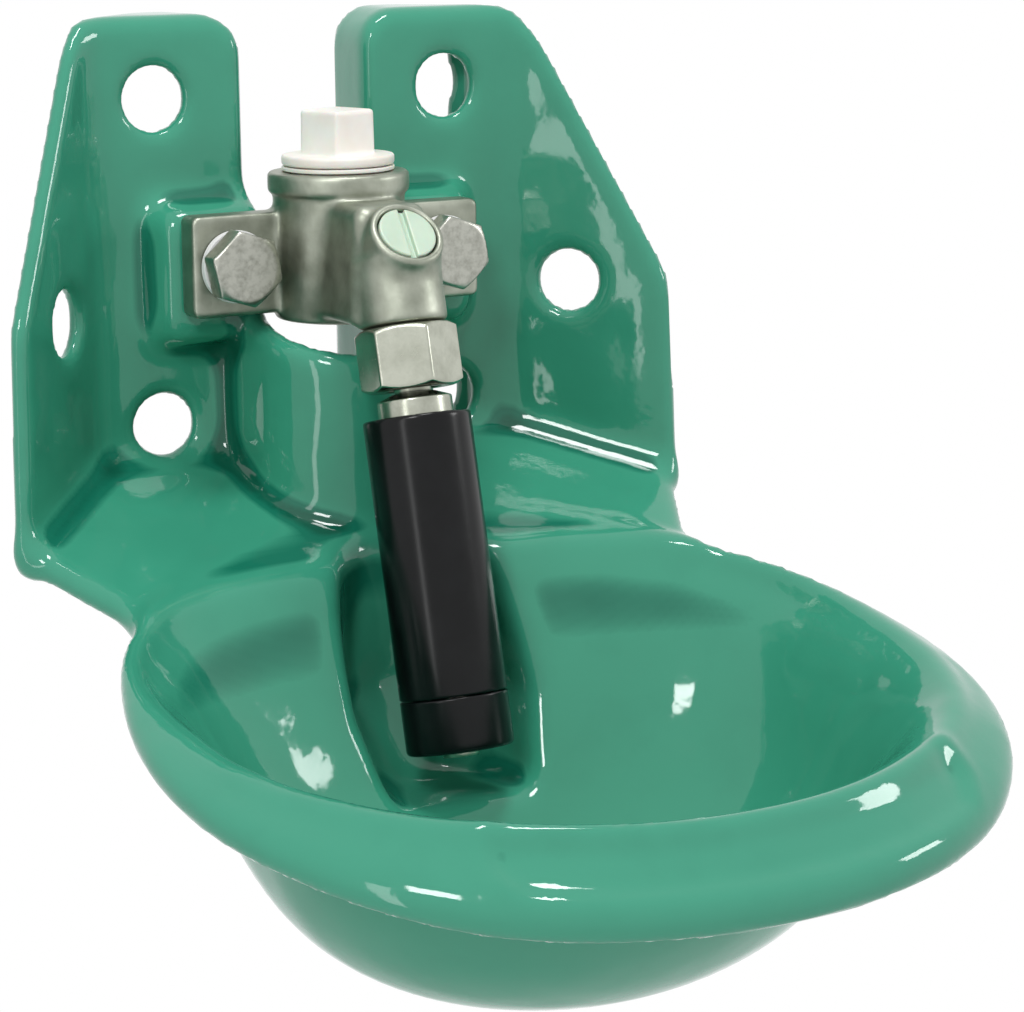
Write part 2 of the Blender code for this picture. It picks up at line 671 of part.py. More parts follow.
def make_hole_cutters():
    """Mounting holes, pad holes and the openings that a spanner reaches the nuts through."""
    cutters = []
    for side, sign in (("left", -1), ("right", 1)):
        for row, z in (("top", HOLE_PITCH), ("low", 0)):
            centre = (sign * HOLE_PITCH / 2, -EAR_FRONT - 20 * MM, z)
            cutters.append(ring("hole_%s_%s" % (row, side), 0, HOLE_DIAMETER / 2, -30 * MM, 0,
                                place=facing(centre, (0, -1, 0)), steps=24))
        outward = (-sign * math.sin(WING_ANGLE), -math.cos(WING_ANGLE), 0)
        x, y = ear_surface(WING_START + (CORNER_HOLE_X - WING_START) / math.cos(WING_ANGLE))
        cutters.append(ring("hole_corner_" + side, 0, HOLE_DIAMETER / 2, -30 * MM, 15 * MM,
                            place=facing((sign * x, y, CORNER_HOLE_Z), outward), steps=24))
        bolt = (sign * BOLT_SPACING / 2, -BARREL_OUT, BOLT_Z)
        cutters.append(ring("pad_hole_" + side, 0, BOLT_RADIUS + BOLT_CLEARANCE, -40 * MM, 0,
                            place=facing(bolt, (0, -1, 0)), steps=20))
        reach = HEX_ACROSS_FLATS / 2 + SPANNER_ROOM
        ends = sorted((sign * (SLOT_FRONT_WIDTH / 2 - 2 * MM), sign * (BOLT_SPACING / 2 + reach)))
        low = (ends[0], -NUT_FACE, BOLT_Z - reach)
        high = (ends[1], 5 * MM, BOLT_Z + reach)
        cutters.append(box("spanner_gap_" + side, low, high))
    return cutters


def make_casting():
    """The bowl, its ears, deck, hood, niche and ribs in one casting."""
    casting = make_bowl_shell()
    ears, pockets = make_ears()
    niche_shell, niche_cutter = make_niche()
    neck, back = SLOT_FRONT_WIDTH / 2 - CHANNEL_MARGIN, SLOT_BACK_WIDTH / 2 - CHANNEL_MARGIN
    draft = (back - neck) / EAR_FRONT
    channel = upright("channel_cutter", horseshoe(CHANNEL_RADIUS, neck, back + draft * 20 * MM, 20 * MM),
                      -150 * MM, EAR_TOP + 20 * MM)
    wall = box("wall_cutter", (-150 * MM, 0, -150 * MM), (150 * MM, 50 * MM, 150 * MM))
    combine(casting, "UNION", make_deck(), *ears, make_hood(), niche_shell, *make_pads(), *make_ribs())
    combine(casting, "DIFFERENCE", make_cavity(), niche_cutter, channel, wall, *pockets, *make_hole_cutters())


def make_valve_body(outlet, screw_place):
    """The valve's cast body with its bores."""
    top = BARREL_FOOT + BARREL_HEIGHT
    place = Matrix.Translation((0, -BARREL_OUT, 0))
    body = turned("valve_body", [
        (0, BARREL_FOOT), (BARREL_RADIUS, BARREL_FOOT), (BARREL_RADIUS, top),
        (COLLAR_RADIUS, top + 0.8 * MM), (COLLAR_RADIUS, top + COLLAR_HEIGHT), (0, top + COLLAR_HEIGHT)],
        "cast", place, steps=40, turn=math.pi / 40)
    lugs = box("lugs", (-LUG_SPAN / 2, 0, BOLT_Z - LUG_HEIGHT / 2),
               (LUG_SPAN / 2, LUG_THICKNESS, BOLT_Z + LUG_HEIGHT / 2), place=place)
    bevel(lugs, 0.8 * MM)
    near = 4 * MM
    bridge = loft("bridge", [
        [(sx * width / 2, -BARREL_OUT - y, z) for sx, y in ((1, near), (-1, near), (-1, reach), (1, reach))]
        for width, reach, z in ((BRIDGE_FOOT_WIDTH, BRIDGE_REACH, BARREL_FOOT + 2 * MM),
                                (BRIDGE_TOP_WIDTH, BRIDGE_REACH - 3 * MM, BRIDGE_TOP))])
    bevel(bridge, 3 * MM, 30, 2)
    spigot = CHAMBER_RADIUS + SPIGOT_WALL
    barrel = turned("outlet_barrel", [
        (0, SPIGOT_END), (spigot, SPIGOT_END), (spigot, UNION_HIGH + GAP),
        (OUTLET_RADIUS - 1 * MM, UNION_HIGH + GAP), (OUTLET_RADIUS, UNION_HIGH + GAP + 1 * MM),
        (OUTLET_RADIUS, UNION_HIGH + OUTLET_LENGTH), (0, UNION_HIGH + OUTLET_LENGTH)], parent=outlet, steps=32)
    boss_radius = SCREW_RADIUS + GAP + BOSS_WALL
    boss = turned("screw_boss", [
        (0, -BOSS_LENGTH), (boss_radius, -BOSS_LENGTH), (boss_radius, -0.8 * MM), (boss_radius - 0.8 * MM, 0),
        (0, 0)], place=screw_place, steps=32)
    combine(body, "UNION", lugs, bridge, barrel, boss)
    bore = ring("barrel_bore", 0, BARREL_BORE, BARREL_FOOT - 5 * MM, top + COLLAR_HEIGHT + 5 * MM,
                place=place, steps=36)
    chamber = turned("chamber_bore", [
        (0, SPIGOT_END - 5 * MM), (CHAMBER_RADIUS, SPIGOT_END - 5 * MM), (CHAMBER_RADIUS, CHAMBER_TOP),
        (SPRING_POCKET_RADIUS, CHAMBER_TOP), (SPRING_POCKET_RADIUS, SPRING_POCKET_TOP), (0, SPRING_POCKET_TOP)],
        parent=outlet, steps=24, turn=math.pi / 24)
    port = ring("port_bore", 0, PORT_RADIUS, BARREL_BORE - 3 * MM, PORT_REACH - BARREL_OUT,
                place=facing((0, -BARREL_OUT, PORT_Z), (0, -1, 0)), steps=14)
    shoulder = -SCREW_HEAD - SCREW_GROOVE - SCREW_LAND - SCREW_TRAVEL - GAP
    floor = shoulder - SCREW_TIP
    tip = SCREW_TIP_RADIUS + GAP
    screw_bore = turned("screw_bore", [
        (0, 5 * MM), (SCREW_RADIUS + GAP, 5 * MM), (SCREW_RADIUS + GAP, shoulder), (tip, shoulder),
        (tip, floor), (THROTTLE_RADIUS, floor), (THROTTLE_RADIUS, floor - THROTTLE_LENGTH),
        (0, floor - THROTTLE_LENGTH)], place=screw_place, steps=24, turn=math.pi / 24)
    holes = [ring("lug_hole_" + side, 0, BOLT_RADIUS + BOLT_CLEARANCE, -20 * MM, 10 * MM,
                  place=facing((sign * BOLT_SPACING / 2, -BARREL_OUT, BOLT_Z), (0, -1, 0)), steps=20)
             for side, sign in (("left", -1), ("right", 1))]
    combine(body, "DIFFERENCE", bore, chamber, port, screw_bore, *holes)


def make_union_nut(outlet):
    """The hexagonal union nut, which holds the ball seat up against the outlet."""
    corner = UNION_ACROSS_FLATS / 2 / math.cos(math.pi / 6)
    nut = ring("union_nut", 0, corner, UNION_LOW - 1 * MM, UNION_HIGH + 1 * MM, "steel", parent=outlet, steps=6)
    face, reach = UNION_ACROSS_FLATS / 2 - UNION_FACE_INSET, corner + 1 * MM
    rise = (reach - face) * math.tan(math.radians(30))
    guard = turned("union_chamfer", [
        (0, UNION_LOW), (face, UNION_LOW), (reach, UNION_LOW + rise), (reach, UNION_HIGH - rise),
        (face, UNION_HIGH), (0, UNION_HIGH)], parent=outlet, steps=32, turn=math.pi / 32)
    inside = CHAMBER_RADIUS + SPIGOT_WALL + GAP
    bore = turned("union_bore", [
        (0, UNION_LOW - 5 * MM), (UNION_HOLE, UNION_LOW - 5 * MM), (UNION_HOLE, UNION_LOW + UNION_LIP),
        (inside, UNION_LOW + UNION_LIP), (inside, UNION_HIGH + 5 * MM), (0, UNION_HIGH + 5 * MM)],
        parent=outlet, steps=24)
    combine(nut, "INTERSECT", guard)
    combine(nut, "DIFFERENCE", bore)


def sphere_profile(radius, low, high, steps):
    """Points (radius, height) on a sphere between two heights."""
    start, end = math.asin(low / radius), math.asin(high / radius)
    turns = [start + (end - start) * step / steps for step in range(steps + 1)]
    return [(radius * math.cos(turn), radius * math.sin(turn)) for turn in turns]


def make_ball_seat(outlet):
    """The plastic cup under the ball, and the sealing ring above it."""
    outer = CHAMBER_RADIUS + SPIGOT_WALL
    low = UNION_LOW + UNION_LIP + GAP
    high = low + SEAT_RING_HEIGHT
    hollow = BALL_RADIUS + SWIVEL_WALL + 2 * GAP
    cup = [(outer, low)] + sphere_profile(hollow, low, high, 5) + [(outer, high)]
    turned("ball_seat", cup, "white", parent=outlet)
    ring("nut_seal", outer - SEAL_RING_WALL, outer, high + GAP, high + GAP + SEAL_RING_HEIGHT, "rubber",
         parent=outlet)


def make_tube(pitch):
    """The swivel ring, and the tube with its neck, sleeve and cap, about the pivot."""
    inner = BALL_RADIUS + GAP
    shell = sphere_profile(inner, SWIVEL_LOW, SWIVEL_HIGH, 4)
    shell += reversed(sphere_profile(inner + SWIVEL_WALL, SWIVEL_LOW, SWIVEL_HIGH, 4))
    turned("swivel_ring", shell, "white", parent=pitch)
    roll = bpy.data.objects.new("tube_pivot", None)
    bpy.context.scene.collection.objects.link(roll)
    roll.parent = pitch
    throat = -math.sqrt(BALL_RADIUS ** 2 - TUBE_RADIUS ** 2)
    ball = sphere_profile(BALL_RADIUS, throat, BALL_TOP, 8)
    turned("tilt_tube", [(TUBE_BORE, TUBE_END), (TUBE_RADIUS, TUBE_END)] + ball + [(TUBE_BORE, BALL_TOP)],
           "steel", parent=roll)
    fit = TUBE_RADIUS + GAP
    neck_low = NECK_SHOULDER - NECK_LENGTH
    turned("tube_neck", [
        (fit, neck_low), (NECK_RADIUS, neck_low), (NECK_RADIUS, NECK_SHOULDER), (fit + 0.4 * MM, NECK_TOP),
        (fit, NECK_TOP)], "steel", parent=roll, steps=32)
    low = SLEEVE_TOP - SLEEVE_LENGTH
    turned("tube_sleeve", [
        (fit, low + GAP), (SLEEVE_RADIUS, low + GAP), (SLEEVE_RADIUS, SLEEVE_TOP - EDGE_CHAMFER),
        (SLEEVE_RADIUS - EDGE_CHAMFER, SLEEVE_TOP), (NECK_RADIUS + GAP, SLEEVE_TOP),
        (NECK_RADIUS + GAP, neck_low - GAP), (fit, neck_low - GAP)], "black", parent=roll, steps=36)
    foot = low - CAP_LENGTH
    turned("sleeve_cap", [
        (fit, low), (fit, foot + CAP_RECESS), (CAP_RECESS_RADIUS, foot + CAP_RECESS), (CAP_RECESS_RADIUS, foot),
        (SLEEVE_RADIUS - EDGE_CHAMFER, foot), (SLEEVE_RADIUS, foot + EDGE_CHAMFER), (SLEEVE_RADIUS, low)],
        "black", parent=roll, steps=36)
    clip = foot + CAP_RECESS - GAP
    ring("tube_circlip", fit, fit + CLIP_WALL, clip - CLIP_HEIGHT, clip, "steel", parent=roll, steps=20)


def make_valve_train(outlet):
    """Seat, stem, foot, disc and spring inside the outlet."""
    bore = CHAMBER_RADIUS - GAP
    seat_top = SEAT_LOW + SEAT_HEIGHT
    ring("valve_seat", SEAT_HOLE, bore, SEAT_LOW, seat_top, "brass", parent=outlet, steps=24)
    foot_low = BALL_TOP + STEM_PLAY
    disc_low = seat_top + GAP
    head_low = disc_low + DISC_HEIGHT + GAP
    head_top = head_low + HEAD_DISC_HEIGHT
    turned("valve_stem", [
        (0, foot_low), (STEM_RADIUS, foot_low), (STEM_RADIUS, head_low), (DISC_RADIUS, head_low),
        (DISC_RADIUS, head_top), (0, head_top)], "brass", parent=outlet, steps=20)
    hole = STEM_RADIUS + GAP
    ring("stem_foot", hole, FOOT_RADIUS, foot_low, foot_low + FOOT_HEIGHT, "brass", parent=outlet, steps=20)
    ring("valve_disc", hole, DISC_RADIUS, disc_low, disc_low + DISC_HEIGHT, "rubber", parent=outlet, steps=24)
    make_spring(outlet, head_top + GAP, SPRING_POCKET_TOP - GAP)


def make_spring(outlet, low, high):
    """The valve's coil spring as one tube, with a short level end on each side."""
    steps = 10
    wire = SPRING_WIRE / 2
    rise = high - low - SPRING_WIRE
    points = []
    for step in range(SPRING_TURNS * steps + 1):
        angle = 2 * math.pi * step / steps
        height = low + wire + rise * step / (SPRING_TURNS * steps)
        points.append(Vector((SPRING_RADIUS * math.cos(angle), SPRING_RADIUS * math.sin(angle), height)))
    for end, beside in ((0, 1), (-1, -2)):
        across = (points[end] - points[beside])
        across.z = 0
        points.insert(0 if end == 0 else len(points), points[end] + across.normalized() * SPRING_WIRE)
    pairs = ((a, b) for i, a in enumerate(points) for b in points[i + steps // 2:])
    print("least gap in the spring, mm:", round((min((a - b).length for a, b in pairs) - SPRING_WIRE) / MM, 2))
    curve = bpy.data.curves.new("valve_spring", "CURVE")
    curve.dimensions = "3D"
    curve.bevel_depth = wire
    curve.bevel_resolution = 1
    curve.use_fill_caps = True
    spline = curve.splines.new("POLY")
    spline.points.add(len(points) - 1)
    for target, point in zip(spline.points, points):
        target.co = (*point, 1)
    add_object("valve_spring", curve, Matrix(), "steel", outlet)


def make_flow_screw(screw_place):
    """The slotted flow screw, and the sealing ring in its groove."""
    groove = -SCREW_HEAD - SCREW_GROOVE
    land = groove - SCREW_LAND
    tip = land - SCREW_TIP
    screw = turned("flow_screw", [
        (0, tip), (SCREW_TIP_RADIUS, tip), (SCREW_TIP_RADIUS, land), (SCREW_RADIUS, land),
        (SCREW_RADIUS, groove), (SCREW_GROOVE_RADIUS, groove), (SCREW_GROOVE_RADIUS, -SCREW_HEAD),
        (SCREW_RADIUS, -SCREW_HEAD), (SCREW_RADIUS, -0.4 * MM), (SCREW_RADIUS - 0.4 * MM, 0), (0, 0)],
        "mint", screw_place, steps=32)
    turn = Matrix.Rotation(SCREW_SLOT_TURN, 4, "Z")
    slot = box("screw_slot", (-SCREW_SLOT / 2, -20 * MM, -SCREW_SLOT_DEPTH), (SCREW_SLOT / 2, 20 * MM, 5 * MM),
               place=screw_place @ turn)
    combine(screw, "DIFFERENCE", slot)
    ring("screw_o_ring", SCREW_GROOVE_RADIUS + GAP, SCREW_RADIUS, groove + GAP, -SCREW_HEAD - GAP, "rubber",
         screw_place, steps=24)


def make_plug():
    """The closing plug, its gasket and the strainer in the barrel."""
    top = BARREL_FOOT + BARREL_HEIGHT + COLLAR_HEIGHT
    place = Matrix.Translation((0, -BARREL_OUT, 0))
    under = top + PLUG_SEAL + 2 * GAP
    thread_low = top - PLUG_DEPTH
    plug = turned("top_plug", [
        (0, thread_low), (PLUG_THREAD, thread_low), (PLUG_THREAD, under), (PLUG_FLANGE_RADIUS, under),
        (PLUG_FLANGE_RADIUS, under + PLUG_FLANGE - 0.5 * MM), (PLUG_FLANGE_RADIUS - 0.5 * MM, under + PLUG_FLANGE),
        (0, under + PLUG_FLANGE)], "white", place, steps=36)
    half = PLUG_SQUARE / 2
    head_top = under + PLUG_FLANGE + PLUG_SQUARE_HEIGHT
    levels = ((under + 1 * MM, half), (head_top - 1.2 * MM, half), (head_top, half - 1.2 * MM))
    square = loft("plug_square", [
        [(x, y, z) for x, y in ((-s, -s), (s, -s), (s, s), (-s, s))] for z, s in levels],
        place=place @ Matrix.Rotation(PLUG_TURN, 4, "Z"))
    combine(plug, "UNION", square)
    ring("plug_gasket", BARREL_BORE, PLUG_FLANGE_RADIUS, top + GAP, top + GAP + PLUG_SEAL, "white", place, steps=36)
    high = thread_low - GAP
    strainer = ring("strainer", BARREL_BORE - GAP - STRAINER_WALL, BARREL_BORE - GAP, high - STRAINER_HEIGHT, high,
                    "steel", place, steps=24)
    for index in range(STRAINER_SLOTS):
        spin = Matrix.Rotation(math.pi * (index + 0.5) / STRAINER_SLOTS, 4, "Z")
        slot = box("strainer_slot_%d" % index,
                   (-20 * MM, -STRAINER_SLOT / 2, high - STRAINER_HEIGHT + 2 * MM),
                   (20 * MM, STRAINER_SLOT / 2, high - 2 * MM), place=place @ spin)
        combine(strainer, "DIFFERENCE", slot)


def make_fasteners():
    """A hexagon screw, two washers and a nut for each lug."""
    corner = HEX_ACROSS_FLATS / 2 / math.cos(math.pi / 6)
    hole = BOLT_RADIUS + GAP
    under_head = 2 * GAP + WASHER_HEIGHT
    washer_back = NUT_FACE - BARREL_OUT - GAP
    nut_front = washer_back - WASHER_HEIGHT - GAP
    for side, sign in (("left", -1), ("right", 1)):
        place = facing((sign * BOLT_SPACING / 2, -BARREL_OUT, BOLT_Z), (0, -1, 0))
        head = under_head + HEAD_HEIGHT
        bolt = turned("lug_bolt_" + side, [
            (0, under_head), (corner, under_head), (corner, head - 0.9 * MM), (corner - 1.6 * MM, head), (0, head)],
            "steel", place, steps=6)
        shank = turned("shank_" + side, [
            (0, under_head + 1 * MM), (BOLT_RADIUS, under_head + 1 * MM),
            (BOLT_RADIUS, under_head - BOLT_LENGTH + 1 * MM), (BOLT_RADIUS - 1 * MM, under_head - BOLT_LENGTH),
            (0, under_head - BOLT_LENGTH)], place=place, steps=20)
        combine(bolt, "UNION", shank)
        ring("lug_washer_" + side, hole, WASHER_RADIUS, GAP, GAP + WASHER_HEIGHT, "steel", place, steps=24)
        ring("back_washer_" + side, hole, WASHER_RADIUS, washer_back - WASHER_HEIGHT, washer_back, "steel", place,
             steps=24)
        nut = turned("lug_nut_" + side, [
            (0, nut_front), (corner, nut_front), (corner, nut_front - NUT_HEIGHT + 0.9 * MM),
            (corner - 1.6 * MM, nut_front - NUT_HEIGHT), (0, nut_front - NUT_HEIGHT)], "steel", place, steps=6,
            turn=math.pi / 6)
        bore = ring("nut_bore_" + side, 0, hole, nut_front - 20 * MM, nut_front + 5 * MM, place=place, steps=20)
        combine(nut, "DIFFERENCE", bore)


def add_frame(name, place, parent=None):
    """An empty that pieces hang on."""
    empty = bpy.data.objects.new(name, None)
    bpy.context.scene.collection.objects.link(empty)
    empty.parent = parent
    empty.matrix_basis = place
    return empty


def main():
    for item in list(bpy.data.objects):
        bpy.data.objects.remove(item, do_unlink=True)
    lean = Matrix.Rotation(-TUBE_LEAN, 4, "X")
    outlet = add_frame("outlet_axis", Matrix.Translation((0, -PIVOT_OUT, PIVOT_Z)) @ lean)
    pitch = add_frame("swivel_pivot", Matrix(), outlet)
    screw_place = facing((0, -SCREW_OUT, SCREW_Z), (0, -math.sin(SCREW_ANGLE), math.cos(SCREW_ANGLE)))
    make_casting()
    make_valve_body(outlet, screw_place)
    make_union_nut(outlet)
    make_ball_seat(outlet)
    make_tube(pitch)
    make_valve_train(outlet)
    make_flow_screw(screw_place)
    make_plug()
    make_fasteners()
    bpy.context.view_layer.update()


main()
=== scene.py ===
# Automatic drinking bowl: an enamelled iron bowl with a tube valve, dressed over its CAD frame.
# Lengths in the shape code are millimetres: X to the right, -Y out from the wall, Z up.

import math

import bmesh
import bpy
import numpy as np
from mathutils import Matrix, Vector


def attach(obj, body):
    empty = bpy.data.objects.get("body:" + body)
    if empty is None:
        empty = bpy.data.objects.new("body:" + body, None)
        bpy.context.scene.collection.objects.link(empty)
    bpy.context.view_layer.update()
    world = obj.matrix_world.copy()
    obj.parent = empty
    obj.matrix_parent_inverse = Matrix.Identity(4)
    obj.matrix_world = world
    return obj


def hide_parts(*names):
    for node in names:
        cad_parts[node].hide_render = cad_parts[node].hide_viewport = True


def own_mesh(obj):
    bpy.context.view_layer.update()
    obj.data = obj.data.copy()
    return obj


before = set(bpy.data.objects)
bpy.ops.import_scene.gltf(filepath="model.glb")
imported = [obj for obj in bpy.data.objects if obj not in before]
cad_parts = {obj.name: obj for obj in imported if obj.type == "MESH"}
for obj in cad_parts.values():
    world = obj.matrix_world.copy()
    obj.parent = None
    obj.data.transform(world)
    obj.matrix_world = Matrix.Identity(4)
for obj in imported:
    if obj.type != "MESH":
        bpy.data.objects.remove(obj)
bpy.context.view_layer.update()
mm = 0.001
outlet = {"y": -78.8, "z": 20.9, "lean": 14.3}  # the ball's centre, and how far the tube leans forward


# Solid shapes are distance fields in mm, negative inside.

def makeGrid(low, high, step):
    # three axes that broadcast against each other
    axes = [np.arange(a, b + step, step, dtype=np.float32) for a, b in zip(low, high)]
    return (axes[0][:, None, None], axes[1][None, :, None], axes[2][None, None, :])


def join(first, second, radius=0.0):
    # union; the inner corner between the two gets this radius
    if not radius:
        return np.minimum(first, second)
    corner = np.hypot(np.maximum(radius - first, 0), np.maximum(radius - second, 0))
    return np.maximum(np.minimum(first, second), radius) - corner


def meet(first, second, radius=0.0):
    # intersection; the outer edge between the two gets this radius
    return -join(-first, -second, radius)


def cut(body, tool, radius=0.0):
    return meet(body, -tool, radius)


def sloped(field, slope):
    # turns a height difference into a distance
    return field / math.sqrt(1 + slope * slope)


def evened(field, step, least=0.3):
    # turns any smooth field into a distance near its surface; the least slope keeps the rest in bounds
    slopes = np.gradient(field, step)
    return field / np.maximum(np.sqrt(sum(slope * slope for slope in slopes)), least)


def outlineDistance(points, u, v):
    # distance to a closed outline of (u, v) corners
    best, inside = None, None
    for (u1, v1), (u0, v0) in zip(points, points[-1:] + points[:-1]):
        du, dv = u0 - u1, v0 - v1
        wu, wv = u - u1, v - v1
        along = np.clip((wu * du + wv * dv) / (du * du + dv * dv), 0, 1)
        gap = (wu - du * along) ** 2 + (wv - dv * along) ** 2
        left = du * wv > dv * wu
        crossed = ((v >= v1) & (v < v0) & left) | ((v < v1) & (v >= v0) & ~left)
        best = gap if best is None else np.minimum(best, gap)
        inside = crossed if inside is None else inside ^ crossed
    return np.where(inside, -1, 1) * np.sqrt(best)


def unpinched(field):
    # where the corners of a grid face alternate, the surface would touch itself, so the nearer of the two
    # outside corners goes just inside
    field, inside = field.copy(), -0.01
    for first, second in ((0, 1), (1, 2), (0, 2), (0, 1)):
        turned = np.moveaxis(field, (first, second), (0, 1))
        a, b, c, d = turned[:-1, :-1], turned[1:, :-1], turned[:-1, 1:], turned[1:, 1:]
        for near, far, one, other in ((a, d, b, c), (b, c, a, d)):
            pinch = (near < 0) & (far < 0) & (one >= 0) & (other >= 0)
            one[pinch & (one <= other)] = inside
            other[pinch & (other < one)] = inside
    return field


def surfaceOf(field, low, step):
    # one point in each cell that the surface crosses, and a quad for each crossed grid line
    inside = field < 0
    cells = tuple(size - 1 for size in field.shape)
    total = np.zeros(cells + (3,), np.float32)
    count = np.zeros(cells, np.uint8)
    crossings = []
    for axis in range(3):
        near = [slice(None)] * 3
        far = [slice(None)] * 3
        near[axis], far[axis] = slice(None, -1), slice(1, None)
        spots = np.argwhere(inside[tuple(near)] != inside[tuple(far)])
        a = field[tuple(near)][tuple(spots.T)]
        b = field[tuple(far)][tuple(spots.T)]
        points = spots.astype(np.float32)
        points[:, axis] += a / (a - b)
        u, v = (axis + 1) % 3, (axis + 2) % 3
        corners = []
        for du, dv in ((0, 0), (1, 0), (1, 1), (0, 1)):
            cell = spots.copy()
            cell[:, u] -= du
            cell[:, v] -= dv
            corners.append(cell)
            flat = np.ravel_multi_index(tuple(cell.T), cells)
            np.add.at(total.reshape(-1, 3), flat, points)
            np.add.at(count.reshape(-1), flat, 1)
        crossings.append((corners, a < 0))
    index = np.full(cells, -1, np.int64)
    used = count > 0
    index[used] = np.arange(used.sum())
    points = total[used] / count[used][:, None]
    faces = []
    for corners, outward in crossings:
        quad = np.stack([index[tuple(cell.T)] for cell in corners], 1)
        quad[~outward] = quad[~outward][:, ::-1]
        faces.append(quad)
    for _ in range(2):  # slide each point on to the surface
        points = points - toSurface(field, points)
    return points * step + np.asarray(low, np.float32), np.concatenate(faces)


def around(field, points):
    # for each corner of a point's cell: the field there, and how near the point is along each axis
    base = np.clip(np.floor(points).astype(int), 0, np.array(field.shape) - 2)
    part = points - base
    for corner in np.ndindex(2, 2, 2):
        near = [part[:, k] if corner[k] else 1 - part[:, k] for k in range(3)]
        yield corner, field[tuple((base + corner).T)], near


def sampled(field, points):
    # the field's value at each point
    return sum(sample * (near[0] * near[1] * near[2]) for _, sample, near in around(field, points))


def toSurface(field, points):
    # the way from each point to the surface, straight down the slope and half a cell at most
    value = sampled(field, points)
    slope = np.zeros((len(points), 3))
    for corner, sample, near in around(field, points):
        for k in range(3):
            slope[:, k] += sample * (near[(k + 1) % 3] * near[(k + 2) % 3]) * (1 if corner[k] else -1)
    move = slope * (value / np.maximum((slope ** 2).sum(1), 1e-6))[:, None]
    length = np.linalg.norm(move, axis=1, keepdims=True)
    return move * np.minimum(1, 0.5 / np.maximum(length, 1e-6))


def softened(field, rounds):
    # a small blur along each axis
    for _ in range(rounds):
        for axis in range(3):
            padded = np.concatenate([field.take([0], axis), field, field.take([-1], axis)], axis)
            count = field.shape[axis]
            field = (padded.take(range(count), axis) + 2 * field + padded.take(range(2, count + 2), axis)) / 4
    return field


def fieldPiece(name, field, low, step, material, blur=0):
    # a blurred field is a casting: it keeps how its surface bends, and takes its shading from the field
    field = unpinched(softened(field, blur))
    points, faces = surfaceOf(field, low, step)
    mesh = bpy.data.meshes.new(name)
    mesh.from_pydata((points * mm).tolist(), [], faces.tolist())
    mesh.update()
    mesh.shade_smooth()
    piece = bpy.data.objects.new(name, mesh)
    bpy.context.scene.collection.objects.link(piece)
    mesh.materials.append(material)
    if blur:  # bend is positive on edges and negative in hollows: how far a wider blur moves the surface
        cells, reach, widerBlur = (points - low) / step, 8, 6
        near = np.clip(field, -reach, reach)
        bend = sampled(softened(near, widerBlur) - near, cells) / step
        # the enamel reads bend to paint a highlight on edges and shade in hollows
        mesh.attributes.new("bend", "FLOAT", "POINT").data.foreach_set("value", bend.astype(np.float32))
        normal = np.stack([sampled(slope, cells) for slope in np.gradient(near)], axis=1)
        mesh.normals_split_custom_set_from_vertices(normal / np.linalg.norm(normal, axis=1, keepdims=True))
    print(name, len(points), "points")
    return piece


def settle(piece, body, slot, *nodes):
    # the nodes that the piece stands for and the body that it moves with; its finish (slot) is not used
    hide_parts(*nodes)
    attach(piece, body)


def colour(text):
    # an sRGB hex value as linear light
    parts = [int(text[k:k + 2], 16) / 255 for k in (1, 3, 5)]
    return (*[p / 12.92 if p <= 0.04045 else ((p + 0.055) / 1.055) ** 2.4 for p in parts], 1)


def feed(tree, node, **inputs):
    # sets inputs by name, or by number as n0; each is a value, or a socket or node to link from
    for key, value in inputs.items():
        numbered = key[0] == "n" and key[1:].isdigit()
        socket = node.inputs[int(key[1:]) if numbered else key.replace("_", " ")]
        if isinstance(value, bpy.types.Node):
            value = value.outputs[0]
        if isinstance(value, bpy.types.NodeSocket):
            tree.links.new(value, socket)
        else:
            socket.default_value = value
    return node


def addNode(tree, kind, settings=None, stops=(), **inputs):
    # a node with its settings, its inputs, and on a ramp its stops: places with sRGB colours
    node = tree.nodes.new(kind)
    for key, value in (settings or {}).items():
        setattr(node, key, value)
    for _ in stops[2:]:
        node.color_ramp.elements.new(0.5)
    for element, (place, shade) in zip(node.color_ramp.elements if stops else (), stops):
        element.position = place
        element.color = colour(shade)
    return feed(tree, node, **inputs)


def newMaterial(name):
    material = bpy.data.materials.new(name)
    material.use_nodes = True
    tree = material.node_tree
    where = addNode(tree, "ShaderNodeTexCoord").outputs["Object"]
    return material, tree, tree.nodes["Principled BSDF"], where
